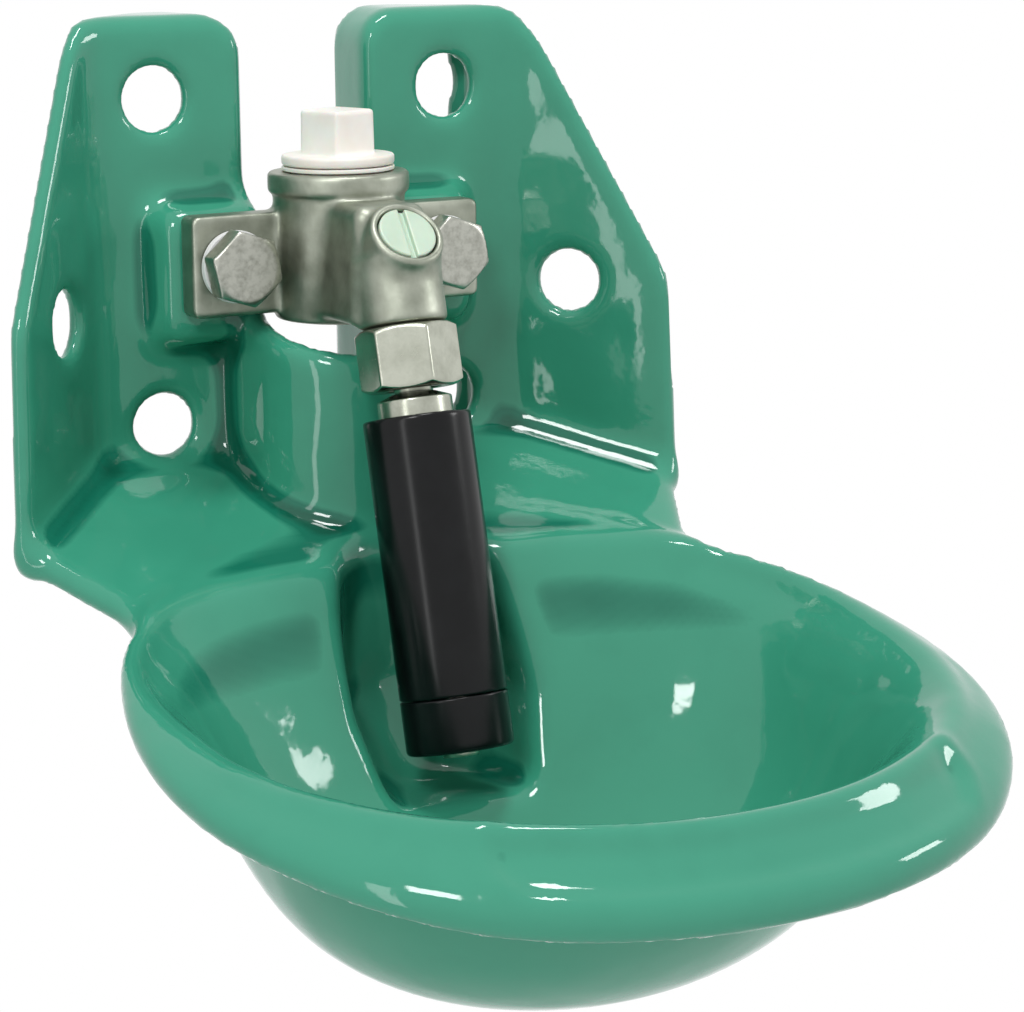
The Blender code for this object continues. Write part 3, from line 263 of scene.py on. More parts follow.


# The finishes. Sizes and depths of their patterns are mm.

# the darkest colour is enamel pooled in hollows with painted shade, the palest is thin enamel on edges with a
# painted highlight
enamelLook = {
    "pooledShade": "#115C48", "body": "#18745D", "thin": "#3D9A7E", "roughness": 0.06, "ior": 1.52,
    "shine": 0.4, "waveMm": 22, "waveDeep": 0.8, "peelMm": 6.0, "peelDeep": 0.07, "cloudMm": 14,
    "cloudShare": 0.16, "bendLow": -0.12, "bendHigh": 0.16,
}
castLook = {
    "dark": "#868B7E", "body": "#A7AB9E", "stainMm": 7, "grainMm": 0.9, "grainDeep": 0.03, "lumpMm": 5,
    "lumpDeep": 0.10, "roughness": (0.34, 0.52),
}
def enamel():
    # vitreous enamel fired on rough iron: deep gloss over slow waves, pale where it draws thin over an edge
    # and darker where it pools in a hollow; the pale edges are also a painted highlight and the dark hollows
    # painted shade; "bend" is how sharply the surface turns there
    look = enamelLook
    material, tree, shader, where = newMaterial("vitreous_enamel_green")
    bend = addNode(tree, "ShaderNodeAttribute", {"attribute_name": "bend"}).outputs["Fac"]
    spread = addNode(tree, "ShaderNodeMapRange", n0=bend, n1=look["bendLow"], n2=look["bendHigh"])
    cloud = addNode(tree, "ShaderNodeTexNoise", Vector=where, Scale=1000 / look["cloudMm"], Detail=4)
    share = look["cloudShare"]
    spread = addNode(tree, "ShaderNodeMath", {"operation": "MULTIPLY_ADD"}, n0=cloud, n1=share, n2=spread)
    spread = addNode(tree, "ShaderNodeMath", {"operation": "SUBTRACT"}, n0=spread, n1=share / 2)
    # the ramp paints shade into hollows and a highlight on edges, over the enamel's own pooling and thinning
    shades = [(0.0, look["pooledShade"]), (0.42, look["body"]), (0.60, look["body"]), (1.0, look["thin"])]
    shade = addNode(tree, "ShaderNodeValToRGB", stops=shades, Fac=spread)
    wave = addNode(tree, "ShaderNodeTexNoise", Vector=where, Scale=1000 / look["waveMm"], Detail=1,
                   Roughness=0.4)
    peel = addNode(tree, "ShaderNodeTexNoise", Vector=where, Scale=1000 / look["peelMm"], Detail=2)
    waved = addNode(tree, "ShaderNodeBump", Height=wave, Distance=look["waveDeep"] * mm)
    peeled = addNode(tree, "ShaderNodeBump", Height=peel, Distance=look["peelDeep"] * mm, Normal=waved)
    feed(tree, shader, Base_Color=shade, Roughness=look["roughness"], IOR=look["ior"],
         Specular_IOR_Level=look["shine"], Normal=peeled)
    return material


def castMetal():
    # nickel-plated brass, sand cast and blasted: a dull grey-green grain that scatters its highlights
    look = castLook
    material, tree, shader, where = newMaterial("blasted_nickel_casting")
    grain = addNode(tree, "ShaderNodeTexNoise", Vector=where, Scale=1000 / look["grainMm"], Detail=4,
                    Roughness=0.65)
    stain = addNode(tree, "ShaderNodeTexNoise", Vector=where, Scale=1000 / look["stainMm"], Detail=3)
    shade = addNode(tree, "ShaderNodeValToRGB", stops=[(0.3, look["dark"]), (0.7, look["body"])], Fac=stain)
    rough = addNode(tree, "ShaderNodeMapRange", n0=grain, n3=look["roughness"][0], n4=look["roughness"][1])
    lump = addNode(tree, "ShaderNodeTexNoise", Vector=where, Scale=1000 / look["lumpMm"], Detail=2)
    lumpy = addNode(tree, "ShaderNodeBump", Height=lump, Distance=look["lumpDeep"] * mm)
    grainy = addNode(tree, "ShaderNodeBump", Height=grain, Distance=look["grainDeep"] * mm, Normal=lumpy)
    feed(tree, shader, Base_Color=shade, Metallic=1, Roughness=rough, Normal=grainy)
    return material


# What the other finishes are made of. A stain, of a size, detail and blend, drives the colour and roughness,
# and a finer grain the relief; a stretched grain is drawn as rings round the leaning axis of the outlet.

# plated steel off a lathe: bright, with fine rings
turnedSteel = {
    "stain": (6, 4, 0.6), "shades": ((0.35, "#A2A598"), (0.62, "#B6B9AC")), "grain": (0.35, 3, 0.6),
    "deep": 0.006, "stretch": 0.06, "shader": {"Metallic": 1},
}
# zinc plate on forged bolts and pressed washers: soft shine with faint cloudy spots
zincPlate = {"stain": (1.6, 4, 0.6), "grain": (0.9, 2, 0.5), "deep": 0.012, "shader": {"Metallic": 1}}
brightZinc = ((0.32, "#9B9C93"), (0.6, "#B4B5AC"))
dullZinc = ((0.32, "#7A7B74"), (0.6, "#8F9089"))
# moulded nylon: slightly see-through, with a soft skin and faint flow marks
mouldedNylon = {
    "stain": (9, 3, 0.5), "grain": (1.4, 3, 0.5), "deep": 0.010,
    "shader": {"IOR": 1.53, "Subsurface_Weight": 0.25, "Subsurface_Scale": 2 * mm},
}
# extruded black polypropylene turned to size: satin, with close rings and a little grey wear
blackPlastic = {
    "stain": (11, 5, 0.62), "shades": ((0.42, "#08090B"), (0.72, "#121315")), "roughness": (0.16, 0.26),
    "grain": (0.5, 3, 0.6), "deep": 0.004, "stretch": 0.05,
    "shader": {"IOR": 1.49, "Specular_IOR_Level": 0.25},
}
# moulded nitrile rubber: dull, with a dusty bloom
mouldedRubber = {
    "stain": (3, 5, 0.65), "shades": ((0.4, "#1C1C1D"), (0.75, "#343434")), "roughness": 0.62,
    "grain": (0.6, 3, 0.5), "deep": 0.02, "shader": {},
}


def stained(name, look, **changes):
    look = dict(look, **changes)
    material, tree, shader, where = newMaterial(name)
    size, detail, blend = look["stain"]
    stain = addNode(tree, "ShaderNodeTexNoise", Vector=where, Scale=1000 / size, Detail=detail,
                    Roughness=blend)
    shade = addNode(tree, "ShaderNodeValToRGB", stops=look["shades"], Fac=stain)
    rough = look["roughness"]
    if isinstance(rough, tuple):
        rough = addNode(tree, "ShaderNodeMapRange", n0=stain, n3=rough[0], n4=rough[1])
    if "stretch" in look:
        lean, thin = math.radians(outlet["lean"]), look["stretch"]
        where = addNode(tree, "ShaderNodeMapping", Vector=where, Rotation=(lean, 0, 0), Scale=(thin, thin, 1))
    size, detail, blend = look["grain"]
    grain = addNode(tree, "ShaderNodeTexNoise", Vector=where, Scale=1000 / size, Detail=detail,
                    Roughness=blend)
    uneven = addNode(tree, "ShaderNodeBump", Height=grain, Distance=look["deep"] * mm)
    feed(tree, shader, Base_Color=shade, Roughness=rough, Normal=uneven, **look["shader"])
    return material


finishes = {
    "enamel": enamel(), "cast": castMetal(),
    "nut": stained("machined_plated_steel", turnedSteel, roughness=(0.32, 0.18)),
    "tube": stained("drawn_stainless_tube", turnedSteel, roughness=(0.38, 0.24)),
    "brass": stained("turned_brass", turnedSteel, roughness=(0.38, 0.24),  # warm, free-cutting brass
                     shades=((0.35, "#9A7434"), (0.62, "#C9A25C"))),
    "zinc": stained("bright_zinc_steel", zincPlate, roughness=(0.42, 0.24), shades=brightZinc),
    "washer": stained("dull_zinc_steel", zincPlate, roughness=(0.58, 0.42), shades=dullZinc),
    "mint": stained("mint_nylon", mouldedNylon, roughness=0.34, shades=((0.3, "#BED4BF"), (0.7, "#CCE0CC"))),
    "cream": stained("cream_nylon", mouldedNylon, roughness=0.42,
                     shades=((0.3, "#F3EEE6"), (0.7, "#FBF8F2"))),
    "black": stained("black_polypropylene", blackPlastic),
    "rubber": stained("nitrile_rubber", mouldedRubber),
}
print("finishes", len(finishes))


# The enamelled casting, made for x >= 0 and mirrored.

bowl = {
    "step": 1.62, "low": (0.0, -247.5, -118.5), "high": (103.5, 3.0, 106.5), "mouthHalf": 86.8,
    "mouthCentre": 152.6, "mouthFront": 78, "mouthBack": 68.6, "mouthZ": -45, "mouthSlope": 0.07,
    "mouthRise": 7, "riseFrom": 27, "riseOver": 40, "riseMost": 1.09, "depth": 65.5, "wall": 5.5,
    "frontFuller": 4, "shareSide": 0.84, "shareFront": 0.76, "bottomBack": 3.6, "roundFront": 3.0,
    "roundBack": 1.6, "squareBack": 3.6, "squareLow": 2.2, "lipSlope": 1.2, "lipHigh": 1.5,
    "lipRound": 4.0, "steep": 20,
}
rim = {
    "half": 101.3, "centre": 156, "front": 89, "back": 101, "square": 2.1, "ovalMm": 90, "z": -49,
    "top": 3.1, "crest": 2.0, "fold": 0.45, "low": -5.0, "lowInner": 0.6, "slopeEdge": 0.225,
    "slopeMiddle": 0.17, "slopeLow": 0.24, "edgeRound": 3.4, "lowRound": 4.6, "frontDeep": 3.4,
    "deepFrom": 195, "deepOver": 30, "deepWithin": 0.3, "fillet": 5,
}
panel = {
    "half": 54, "inset": 8.0, "wide": 4.9, "sink": 2.0, "edge": 1.6, "from": 190, "bead": 1.1,
    "beadOff": 1.6, "beadWide": 1.7,
}
ear = {
    "front": 25, "wall": 5, "bend": 58.4, "angle": 45, "tail": 17, "top": 102.5, "topReach": 1.5,
    "topSoft": 1.4, "shoulderZ": 95.5, "shoulderReach": 9.2, "shoulderSoft": 1.2, "cornerZ": 32,
    "cornerReach": 45.2, "cornerSoft": 2.2, "foot": -28.4, "footReach": 47.8, "footRound": 9,
    "edgeRound": 2.4, "rimRound": 3.8, "valleySoft": 3.5, "slotFront": 16.5, "slotBack": 19.3,
    "slotSlope": 0.11, "slotSoft": 10, "bead": 1.5, "beadWide": 5, "beadEdge": 2.5, "pocketRound": 1.5,
    "backRound": 0.8, "fillet": 5,
}
deck = {
    "z": -9, "slope": 0.36, "wall": 7, "waistHalf": 79.5, "waist": 80, "front": 100, "back": 2.5,
    "edge": 3, "fillet": 6,
}
hood = {
    "half": 23.5, "centre": 42, "top": 26.4, "slope": 0.3, "topRound": 2.5, "foot": -45, "channel": 17.5,
    "neck": 16.05, "neckSlope": 0.085, "backSlope": 0.112, "channelRound": 1.6, "fillet": 3.5,
}
niche = {
    "half": 24, "back": 68.5, "wall": 6, "foot": -84, "footHalf": 19, "footBack": 85, "footRound": 5,
    "taper": 22, "reach": 142, "shellReach": 120, "underDeck": 1, "opening": 60, "edgeRound": 3,
    "fillet": 2,
}
pad = {
    "near": 13.5, "far": 42.5, "low": 23, "high": 54, "front": 34.5, "draft": 4.4, "draftOver": 11.5,
    "corner": 5, "faceRound": 1.6, "sunk": 3, "fillet": 2.5,
}
rib = {
    "near": 14.5, "far": 22.3, "fillet": 2,
    "side": [(8, -12), (8, -52), (0, -52), (-62, -99), (-114, -99), (-96, -60), (-64, -26), (-25, -12)],
}
hole = {
    "radius": 7.5, "x": 41, "pitch": 82, "deep": 8, "mouth": 1.8, "cornerX": 70.3, "cornerZ": 30,
    "cornerDeep": 20, "padHole": 5.3, "padMouth": 0.5, "padDeep": 45, "boltX": 29.2, "boltZ": 41.7,
    "spanner": 11, "nutFace": 20.4,
}


def superNorm(x, y, half, front, back, powerFront, powerBack):
    # 1 on the oval, less inside it; the wall side of the oval has its own power
    def side(reach, power):
        ratio = (np.abs(x) / half) ** power + (np.abs(y) / reach) ** power
        return np.maximum(ratio, 1e-9) ** (1 / power)
    return np.where(y > 0, side(back, powerBack), side(front, powerFront))


def mouthTilt(y, most=None):
    # how far the mouth lies over its level: it slopes up to the wall, and steeper behind
    behind = np.clip((y + bowl["mouthCentre"] - bowl["riseFrom"]) / bowl["riseOver"], 0, most)
    return bowl["mouthSlope"] * (y + bowl["mouthCentre"]) + bowl["mouthRise"] * behind ** 2


def bowlField(x, y, z, wall):
    # the inside of the bowl, or with a wall its outside
    b = bowl
    depth = b["depth"] + wall
    tilt = 0 if wall else mouthTilt(y)
    share = (b["mouthZ"] - z + 0 * y) / depth  # 0 at the mouth, 1 at the bottom
    for _ in range(8):  # the tilt fades with depth
        share = (b["mouthZ"] - z + tilt * (1 - np.clip(share, 0, 1)) ** 3) / depth
    s = np.clip(share, 0, 0.999)
    body = np.sqrt(1 - s ** b["roundFront"])
    bodyBack = np.sqrt(1 - s ** b["roundBack"])
    flare = (1 - s) ** 5
    side = b["shareSide"] + (1 - b["shareSide"]) * flare / body
    ahead = b["shareFront"] + (1 - b["shareFront"]) * flare / body
    back = (b["shareSide"] * bodyBack + (1 - b["shareSide"]) * flare) / body
    lip = 0 if wall else b["lipSlope"] * np.clip(-share * depth, 0, b["lipHigh"])
    front = b["frontFuller"] * flare if wall else 0
    square = b["squareLow"] + (b["squareBack"] - b["squareLow"]) * (1 - s) ** 2
    size = superNorm(x, y + b["mouthCentre"] - b["bottomBack"] * s, (b["mouthHalf"] + wall) * side + lip,
                     (b["mouthFront"] + wall) * ahead + lip + front, (b["mouthBack"] + wall) * back + lip,
                     2, square)
    return evened((size ** 2 + np.maximum(share, 0) ** b["roundFront"] - 1) * b["steep"], b["step"])


def over(z, height):
    # distance above a surface that is given by its height
    slopes = np.gradient(height, bowl["step"])
    return (z - height[:, :, None]) / np.sqrt(1 + slopes[0] ** 2 + slopes[1] ** 2)[:, :, None]


def rimField(x, y, z):
    b, r, p = bowl, rim, panel
    flatX, flatY = x[:, :, 0], y[:, :, 0]
    reach = flatY + r["centre"]
    edge = superNorm(flatX, reach, r["half"], r["front"], r["back"], r["square"], 2) - 1
    mouth = superNorm(flatX, flatY + b["mouthCentre"], b["mouthHalf"], b["mouthFront"], b["mouthBack"], 2,
                      b["squareBack"]) - 1
    edge, mouth = (evened(flat * r["ovalMm"], b["step"]) for flat in (edge, mouth))
    within = np.clip(-edge, 0, None)
    mix = within / np.maximum(within + np.clip(mouth, 0, None), 0.01)  # 0 at the edge, 1 at the mouth

    # the top folds between an outer and an inner slope
    fold = r["fold"]
    outer = r["z"] + r["top"] + r["slopeEdge"] * reach
    middle = r["z"] + r["top"] + r["slopeMiddle"] * reach + fold * (b["mouthZ"] - r["z"])
    crest = b["mouthZ"] + r["crest"] + mouthTilt(flatY, b["riseMost"])
    top = np.where(mix < fold, outer + (middle - outer) * (mix / fold),
                   middle + (crest - middle) * (mix - fold) / (1 - fold))
    for _ in range(6):  # smooths the fold
        top[1:-1, 1:-1] = (top[:-2, 1:-1] + top[2:, 1:-1] + top[1:-1, :-2] + top[1:-1, 2:]) / 4

    # a bare sunk field in front, with round ends and a low bead round it
    field = np.hypot(np.maximum(flatX - p["half"], 0), edge + p["inset"]) - p["wide"]
    ahead = flatY < -p["from"]
    sunk = np.clip(0.5 - field / p["edge"], 0, 1) * ahead
    top = top - p["sink"] * sunk * sunk * (3 - 2 * sunk)
    top = top + p["bead"] * np.exp(-((field - p["beadOff"]) / p["beadWide"]) ** 2) * ahead

    # the underside, deeper in front
    low = r["z"] + r["low"] + r["slopeLow"] * (1 - mix) * reach - r["lowInner"] * mix
    deep = r["frontDeep"] * np.clip(mix / r["deepWithin"], 0, 1)
    low = low - deep * np.clip((-flatY - r["deepFrom"]) / r["deepOver"], 0, 1)
    upper = over(z, top)
    return meet(meet(upper, edge[:, :, None], r["edgeRound"]), -over(z, low), r["lowRound"]), upper


def wingAxes(x, y):
    # distance along the swept wing from its bend, and in front of its face
    c = math.sin(math.radians(ear["angle"]))
    return (x - ear["bend"]) * c - (y + ear["front"]) * c, (x - ear["bend"]) * c + (y + ear["front"]) * c


def earFields(x, y, z):
    e = ear
    straight = y + e["front"]
    along, swept = wingAxes(x, y)
    run = np.where(x > e["bend"], e["bend"] + np.maximum(along, 0), x)

    def beyond(start, end):
        du, dv = end[0] - start[0], end[1] - start[1]
        return ((run - start[0]) * dv - (z - start[1]) * du) / math.hypot(du, dv)

    # the outline is drawn on the unfolded ear
    corner = (e["bend"] + e["cornerReach"], e["cornerZ"])
    foot = (e["bend"] + e["footReach"], e["foot"])
    shoulder = (e["bend"] + e["shoulderReach"], e["shoulderZ"])
    top = (e["bend"] + e["topReach"], e["top"])
    outline = meet(beyond(foot, corner), beyond(corner, shoulder), e["cornerSoft"])
    outline = meet(outline, beyond(shoulder, top), e["shoulderSoft"])
    outline = meet(outline, z - e["top"], e["topSoft"])
    outline = meet(outline, e["foot"] - z, e["footRound"])
    narrowing = y * (e["slotBack"] - e["slotFront"]) / e["front"]
    slot = sloped(e["slotBack"] + narrowing - x, e["slotSlope"])
    outline = meet(outline, slot, e["slotSoft"])
    bead = e["bead"] * np.clip((e["beadWide"] + slot) / e["beadEdge"], 0, 1)
    face = join(-straight, -swept, e["valleySoft"]) - bead
    body = meet(meet(face, swept - e["wall"], e["edgeRound"]), outline, e["rimRound"])

    # the hollow behind it, up to the short tail of the wing
    tail = np.maximum(np.maximum(-swept, swept - e["wall"]), -(along + e["tail"]))
    pocket = np.maximum(e["slotBack"] + e["wall"] - x, -(y + e["front"] - e["wall"]))
    pocket = np.maximum(pocket, z - e["top"] + e["wall"])
    return body, np.maximum(pocket, -tail)


def deckField(x, y, z, deckZ):
    d, e = deck, ear
    foot = e["bend"] + e["footReach"]
    c = math.sin(math.radians(e["angle"]))

    def onWing(run, behind):
        reach = run - e["bend"]
        return (e["bend"] + reach * c + behind * c, -e["front"] - reach * c + behind * c)

    back = d["back"] - e["front"]
    half = [(0, back), (e["bend"] + 1, back), onWing(foot - 4, d["back"]), onWing(foot - 1, -3),
            (d["waistHalf"] + 3, 6 - d["waist"]), (d["waistHalf"], -d["waist"]),
            (d["waistHalf"] - 1, -d["waist"] - 7), (d["waistHalf"] - 6, -d["front"]), (0, -d["front"] - 10)]
    plan = outlineDistance(half + [(-u, v) for u, v in reversed(half[1:-1])], x, y)
    slab = meet(sloped(z - deckZ, d["slope"]), plan, d["edge"])
    return meet(slab, sloped(deckZ - d["wall"] - z, d["slope"]), d["edge"])


def padField(x, y, z):
    # a pad for each of the valve's lugs, with drafted sides
    p = pad
    grow = p["draft"] * np.clip((y + p["front"]) / p["draftOver"], -0.3, 1.2)
    tilt = p["draft"] / p["draftOver"]
    across = sloped(x - p["far"] - grow, tilt)
    block = meet(meet(across, sloped(z - p["high"] - grow, tilt), p["corner"]),
                 sloped(p["low"] - grow - z, tilt), p["corner"])
    block = meet(np.maximum(block, p["near"] - x), -(y + p["front"]), p["faceRound"])
    return np.maximum(block, y + ear["front"] - p["sunk"])


def channelField(x, y):
    # the channel that the valve's barrel stands in: round in front, a neck behind
    h = hood
    behind = y + ear["front"]
    neck = np.clip(h["neck"] - behind * h["neckSlope"], h["neck"], h["channel"])
    neck = np.where(y > -h["centre"], neck + np.maximum(behind, 0) * h["backSlope"], 0)
    return np.where(y > -h["centre"], x - neck, np.hypot(x, y + h["centre"]) - h["channel"])


def castingField(x, y, z):
    h, n, o, e = hood, niche, hole, ear
    deckZ = deck["z"] + deck["slope"] * (y + e["front"])

    # bowl, rim, deck and ears
    ring, upper = rimField(x, y, z)
    body = join(np.maximum(bowlField(x, y, z, bowl["wall"]), upper), ring, rim["fillet"])
    ears, pocket = earFields(x, y, z)
    body = join(join(deckField(x, y, z, deckZ), ears, deck["fillet"]), body, e["fillet"])

    # hood, with its sloping top
    outside = np.hypot(x, np.minimum(y + h["centre"], 0)) - h["half"]
    top = sloped(z - h["top"] - h["slope"] * (y + h["centre"]), h["slope"])
    body = join(body, np.maximum(meet(outside, top, h["topRound"]), h["foot"] - z), h["fillet"])

    # niche behind the bowl, narrower at its foot
    t = np.clip((z - n["foot"]) / n["taper"], -0.3, 1)
    wide = n["footHalf"] + (n["half"] - n["footHalf"]) * t
    centre = n["footBack"] + n["footHalf"] + (n["back"] + n["half"] - n["footBack"] - n["footHalf"]) * t
    nicheRound = np.hypot(x, np.maximum(y + centre, 0)) - wide
    shell = np.maximum(np.maximum(nicheRound - n["wall"], -y - n["shellReach"]), n["foot"] - n["wall"] - z)
    body = join(body, np.maximum(shell, z - deckZ + n["underDeck"]), n["fillet"])

    # pads, and ribs under the deck
    body = join(body, padField(x, y, z), pad["fillet"])
    ribs = np.maximum(np.maximum(outlineDistance(rib["side"], y, z), x - rib["far"]), rib["near"] - x)
    body = join(body, ribs, rib["fillet"])

    # hollows
    body = cut(body, bowlField(x, y, z, 0), bowl["lipRound"])
    hollow = np.maximum(meet(nicheRound, n["foot"] - z, n["footRound"]), -y - n["reach"])
    body = cut(body, np.maximum(hollow, y + n["opening"]), n["edgeRound"])
    body = cut(body, channelField(x, y), h["channelRound"])
    body = cut(body, pocket, e["pocketRound"])
    body = meet(body, y, e["backRound"])

    # mounting holes: two in the flat of each ear, one in its wing
    for centreZ in (0, o["pitch"]):
        wallHole = np.hypot(x - o["x"], z - centreZ) - o["radius"]
        body = cut(body, np.maximum(wallHole, y + o["deep"]), o["mouth"])
    along, swept = wingAxes(x, y)
    reach = (o["cornerX"] - e["bend"]) / math.sin(math.radians(e["angle"]))
    wingHole = np.hypot(along - reach, z - o["cornerZ"]) - o["radius"]
    body = cut(body, np.maximum(wingHole, np.abs(swept) - o["cornerDeep"]), o["mouth"])

    # bolt holes, with room behind for a nut and a spanner
    boltHole = np.hypot(x - o["boltX"], z - o["boltZ"]) - o["padHole"]
    body = cut(body, np.maximum(boltHole, -y - o["padDeep"]), o["padMouth"])
    room = np.maximum(np.abs(z - o["boltZ"]) - o["spanner"], x - o["boltX"] - o["spanner"])
    return np.maximum(body, -np.maximum(room, -o["nutFace"] - y))


def makeHalved(name, shape, size, material, blur):
    # works out the half with x >= 0 and mirrors it
    x, y, z = makeGrid(size["low"], size["high"], size["step"])
    half = shape(x, y, z)
    field = np.concatenate([half[:0:-1], half])
    low = (-x.max(), *size["low"][1:])
    return fieldPiece(name, field, low, size["step"], material, blur)


def makeCasting():
    casting = makeHalved("enamelled_casting", castingField, bowl, finishes["enamel"], 2)
    settle(casting, "casting", "enamel", "bowl_casting")


# The tube valve.

valve = {
    "step": 0.6, "low": (0.0, -91.2, 21.0), "high": (41.4, -24.6, 66.6), "out": 42.8, "radius": 16.5,
    "bore": 12.2, "foot": 27, "shoulder": 58.5, "top": 63.7, "collar": 17.7, "lugHalf": 40, "lugZ": 41.7,
    "lugHeight": 25.2, "lugThick": 8, "lugCorner": 1.8, "lugFillet": 1.6, "bridgeFoot": 25,
    "bridgeTop": 19, "bridgeHigh": 57.5, "bridgeRound": 3, "bridgeLean": 3, "reach": 32,
    "outletRadius": 10.7, "outletLow": 8.3, "outletHigh": 24.5, "spigot": 8.5, "spigotEnd": 3.6,
    "chamber": 6.5, "chamberTop": 16.5, "pocket": 4.3, "pocketTop": 21.6, "port": 2.4, "portZ": 50,
    "portNear": 9, "portFar": 30.7, "threadPitch": 1.8, "threadDeep": 0.45, "threadTop": 44,
}
screw = {
    "y": -79.4, "z": 51.8, "angle": 45, "radius": 7.2, "clearance": 0.3, "boss": 9.4, "bossLong": 16,
    "head": 1.8, "groove": 1.7, "grooveRadius": 5.6, "land": 1, "end": 1.3, "tip": 2.9, "tipRadius": 2.6,
    "duct": 1.6, "ductLong": 8.3, "slot": 1.7, "slotDeep": 1.3, "slotTurn": -6,
}


def leaning(x, y, z, place, degrees):
    # distance along a leaning axis through the place, and out from it
    turn = math.radians(degrees)
    dy, dz = y - place["y"], z - place["z"]
    return dz * math.cos(turn) + dy * math.sin(turn), np.hypot(x, dy * math.cos(turn) - dz * math.sin(turn))


def ridged(pitch, deep, z, x, y):
    # a screw thread's height: a ridge that climbs by the pitch in one turn
    return deep * np.abs(2 * np.mod(z / pitch + np.arctan2(y, x) / (2 * math.pi), 1) - 1)


def rod(radial, along, radius, low, high, edge=0.0):
    return meet(meet(radial - radius, low - along, edge), along - high, edge)


def valveField(x, y, z):
    v, s = valve, screw
    depth = -(y + v["out"])
    radial = np.hypot(x, depth)
    body = rod(radial, z, v["radius"], v["foot"], v["top"] - 2, 0.6)
    collar = rod(radial, z, v["collar"], v["shoulder"], v["top"], 0.7)
    lugs = meet(meet(np.abs(x) - v["lugHalf"], np.abs(z - v["lugZ"]) - v["lugHeight"] / 2, v["lugCorner"]),
                np.maximum(depth, -v["lugThick"] - depth), 0.9)
    body = join(body, lugs, v["lugFillet"])

    # the bridge in front narrows upwards
    high = (z - v["foot"]) / (v["bridgeHigh"] - v["foot"])
    wide = (v["bridgeFoot"] + (v["bridgeTop"] - v["bridgeFoot"]) * high) / 2
    bridge = meet(x - wide, depth - v["reach"] + v["bridgeLean"] * high, v["bridgeRound"])
    bridge = meet(meet(bridge, z - v["bridgeHigh"], v["bridgeRound"]), v["foot"] + 2 - z, 1.5)
    body = join(body, np.maximum(bridge, -depth), 2)

    # the outlet and the flow screw's boss
    along, out = leaning(x, y, z, outlet, outlet["lean"])
    barrel = rod(out, along, v["outletRadius"], v["outletLow"], v["outletHigh"], 1.0)
    spigot = rod(out, along, v["spigot"], v["spigotEnd"], v["outletLow"] + 3, 0.4)
    up, side = leaning(x, y, z, screw, -s["angle"])
    boss = rod(side, up, s["boss"], -s["bossLong"], 0, 0.8)
    body = join(body, join(barrel, boss, 2.5), 2.2)
    body = join(body, collar, 0.8)
    body = np.minimum(body, spigot)

    # bores: pipe, ball chamber, valve pocket, port, screw and its duct, lug holes
    thread = ridged(v["threadPitch"], v["threadDeep"], z, depth, x) * (z < v["threadTop"])
    body = cut(body, radial - v["bore"] + thread, 0.5)
    body = cut(body, rod(out, along, v["chamber"], -5, v["chamberTop"]), 0.3)
    body = cut(body, rod(out, along, v["pocket"], 5, v["pocketTop"]))
    body = cut(body, rod(np.hypot(x, z - v["portZ"]), depth, v["port"], v["portNear"], v["portFar"]))
    shoulder = -s["head"] - s["groove"] - s["land"] - s["end"]
    body = cut(body, rod(side, up, s["radius"] + s["clearance"], shoulder, 9), 0.5)
    body = cut(body, rod(side, up, s["tipRadius"] + s["clearance"], shoulder - s["tip"], 9))
    body = cut(body, rod(side, up, s["duct"], shoulder - s["tip"] - s["ductLong"], 0))
    lugHole = np.hypot(x - hole["boltX"], z - hole["boltZ"]) - hole["padHole"]
    return cut(body, np.maximum(lugHole, y + 30), 0.4)


def hexField(x, y, z, acrossFlats, low, high, bothEnds):
    # a hexagon with a flat on the x side, whose ends are turned to a 30 degree chamfer
    u, v = np.abs(x), np.abs(y)
    body = meet(u - acrossFlats / 2, u * 0.5 + v * math.sqrt(0.75) - acrossFlats / 2, 0.35)
    body = meet(meet(body, z - high, 0.25), low - z, 0.25)
    slope = math.radians(30)
    fall = (np.hypot(x, y) - acrossFlats / 2 + 0.4) * math.tan(slope)
    body = meet(body, (z - high + fall) * math.cos(slope), 0.2)
    return meet(body, (low - z + fall) * math.cos(slope), 0.2) if bothEnds else body


def localPiece(name, shape, low, high, step, place, material):
    # a field made about its own axis, then put in its place
    piece = fieldPiece(name, shape(*makeGrid(low, high, step)), low, step, material)
    piece.data.transform(place)
    return piece


def leaningPlace(place, degrees):
    spot = Matrix.Translation((0, place["y"] * mm, place["z"] * mm))
    return spot @ Matrix.Rotation(math.radians(degrees), 4, "X")


def outletPlace(along=0.0):
    return leaningPlace(outlet, -outlet["lean"]) @ Matrix.Translation((0, 0, along * mm))


def makeValveBody():
    body = makeHalved("cast_valve_body", valveField, valve, finishes["cast"], 1)
    settle(body, "casting", "cast_metal", "valve_body")


nut = {
    "flats": 22, "low": -7.5, "high": 8, "neckBore": 6.5, "bore": 8.8, "lipTop": -4.8, "pitch": 1.5,
    "threadDeep": 0.35, "threadLow": 4, "turn": -3.3,
}


def makeUnionNut():
    n = nut

    def shape(x, y, z):
        body = hexField(x, y, z, n["flats"], n["low"], n["high"], True)
        inside = np.where(z < n["lipTop"], n["neckBore"], n["bore"])
        thread = ridged(n["pitch"], n["threadDeep"], z, x, y) * (z > n["threadLow"])
        return cut(body, np.hypot(x, y) - inside + thread, 0.3)

    place = outletPlace() @ Matrix.Rotation(math.radians(n["turn"]), 4, "Z")
    piece = localPiece("union_nut_hex", shape, (-13.6, -13.6, -8.4), (13.6, 13.6, 8.8), 0.4, place,
                       finishes["nut"])
    settle(piece, "casting", "steel", "union_nut")


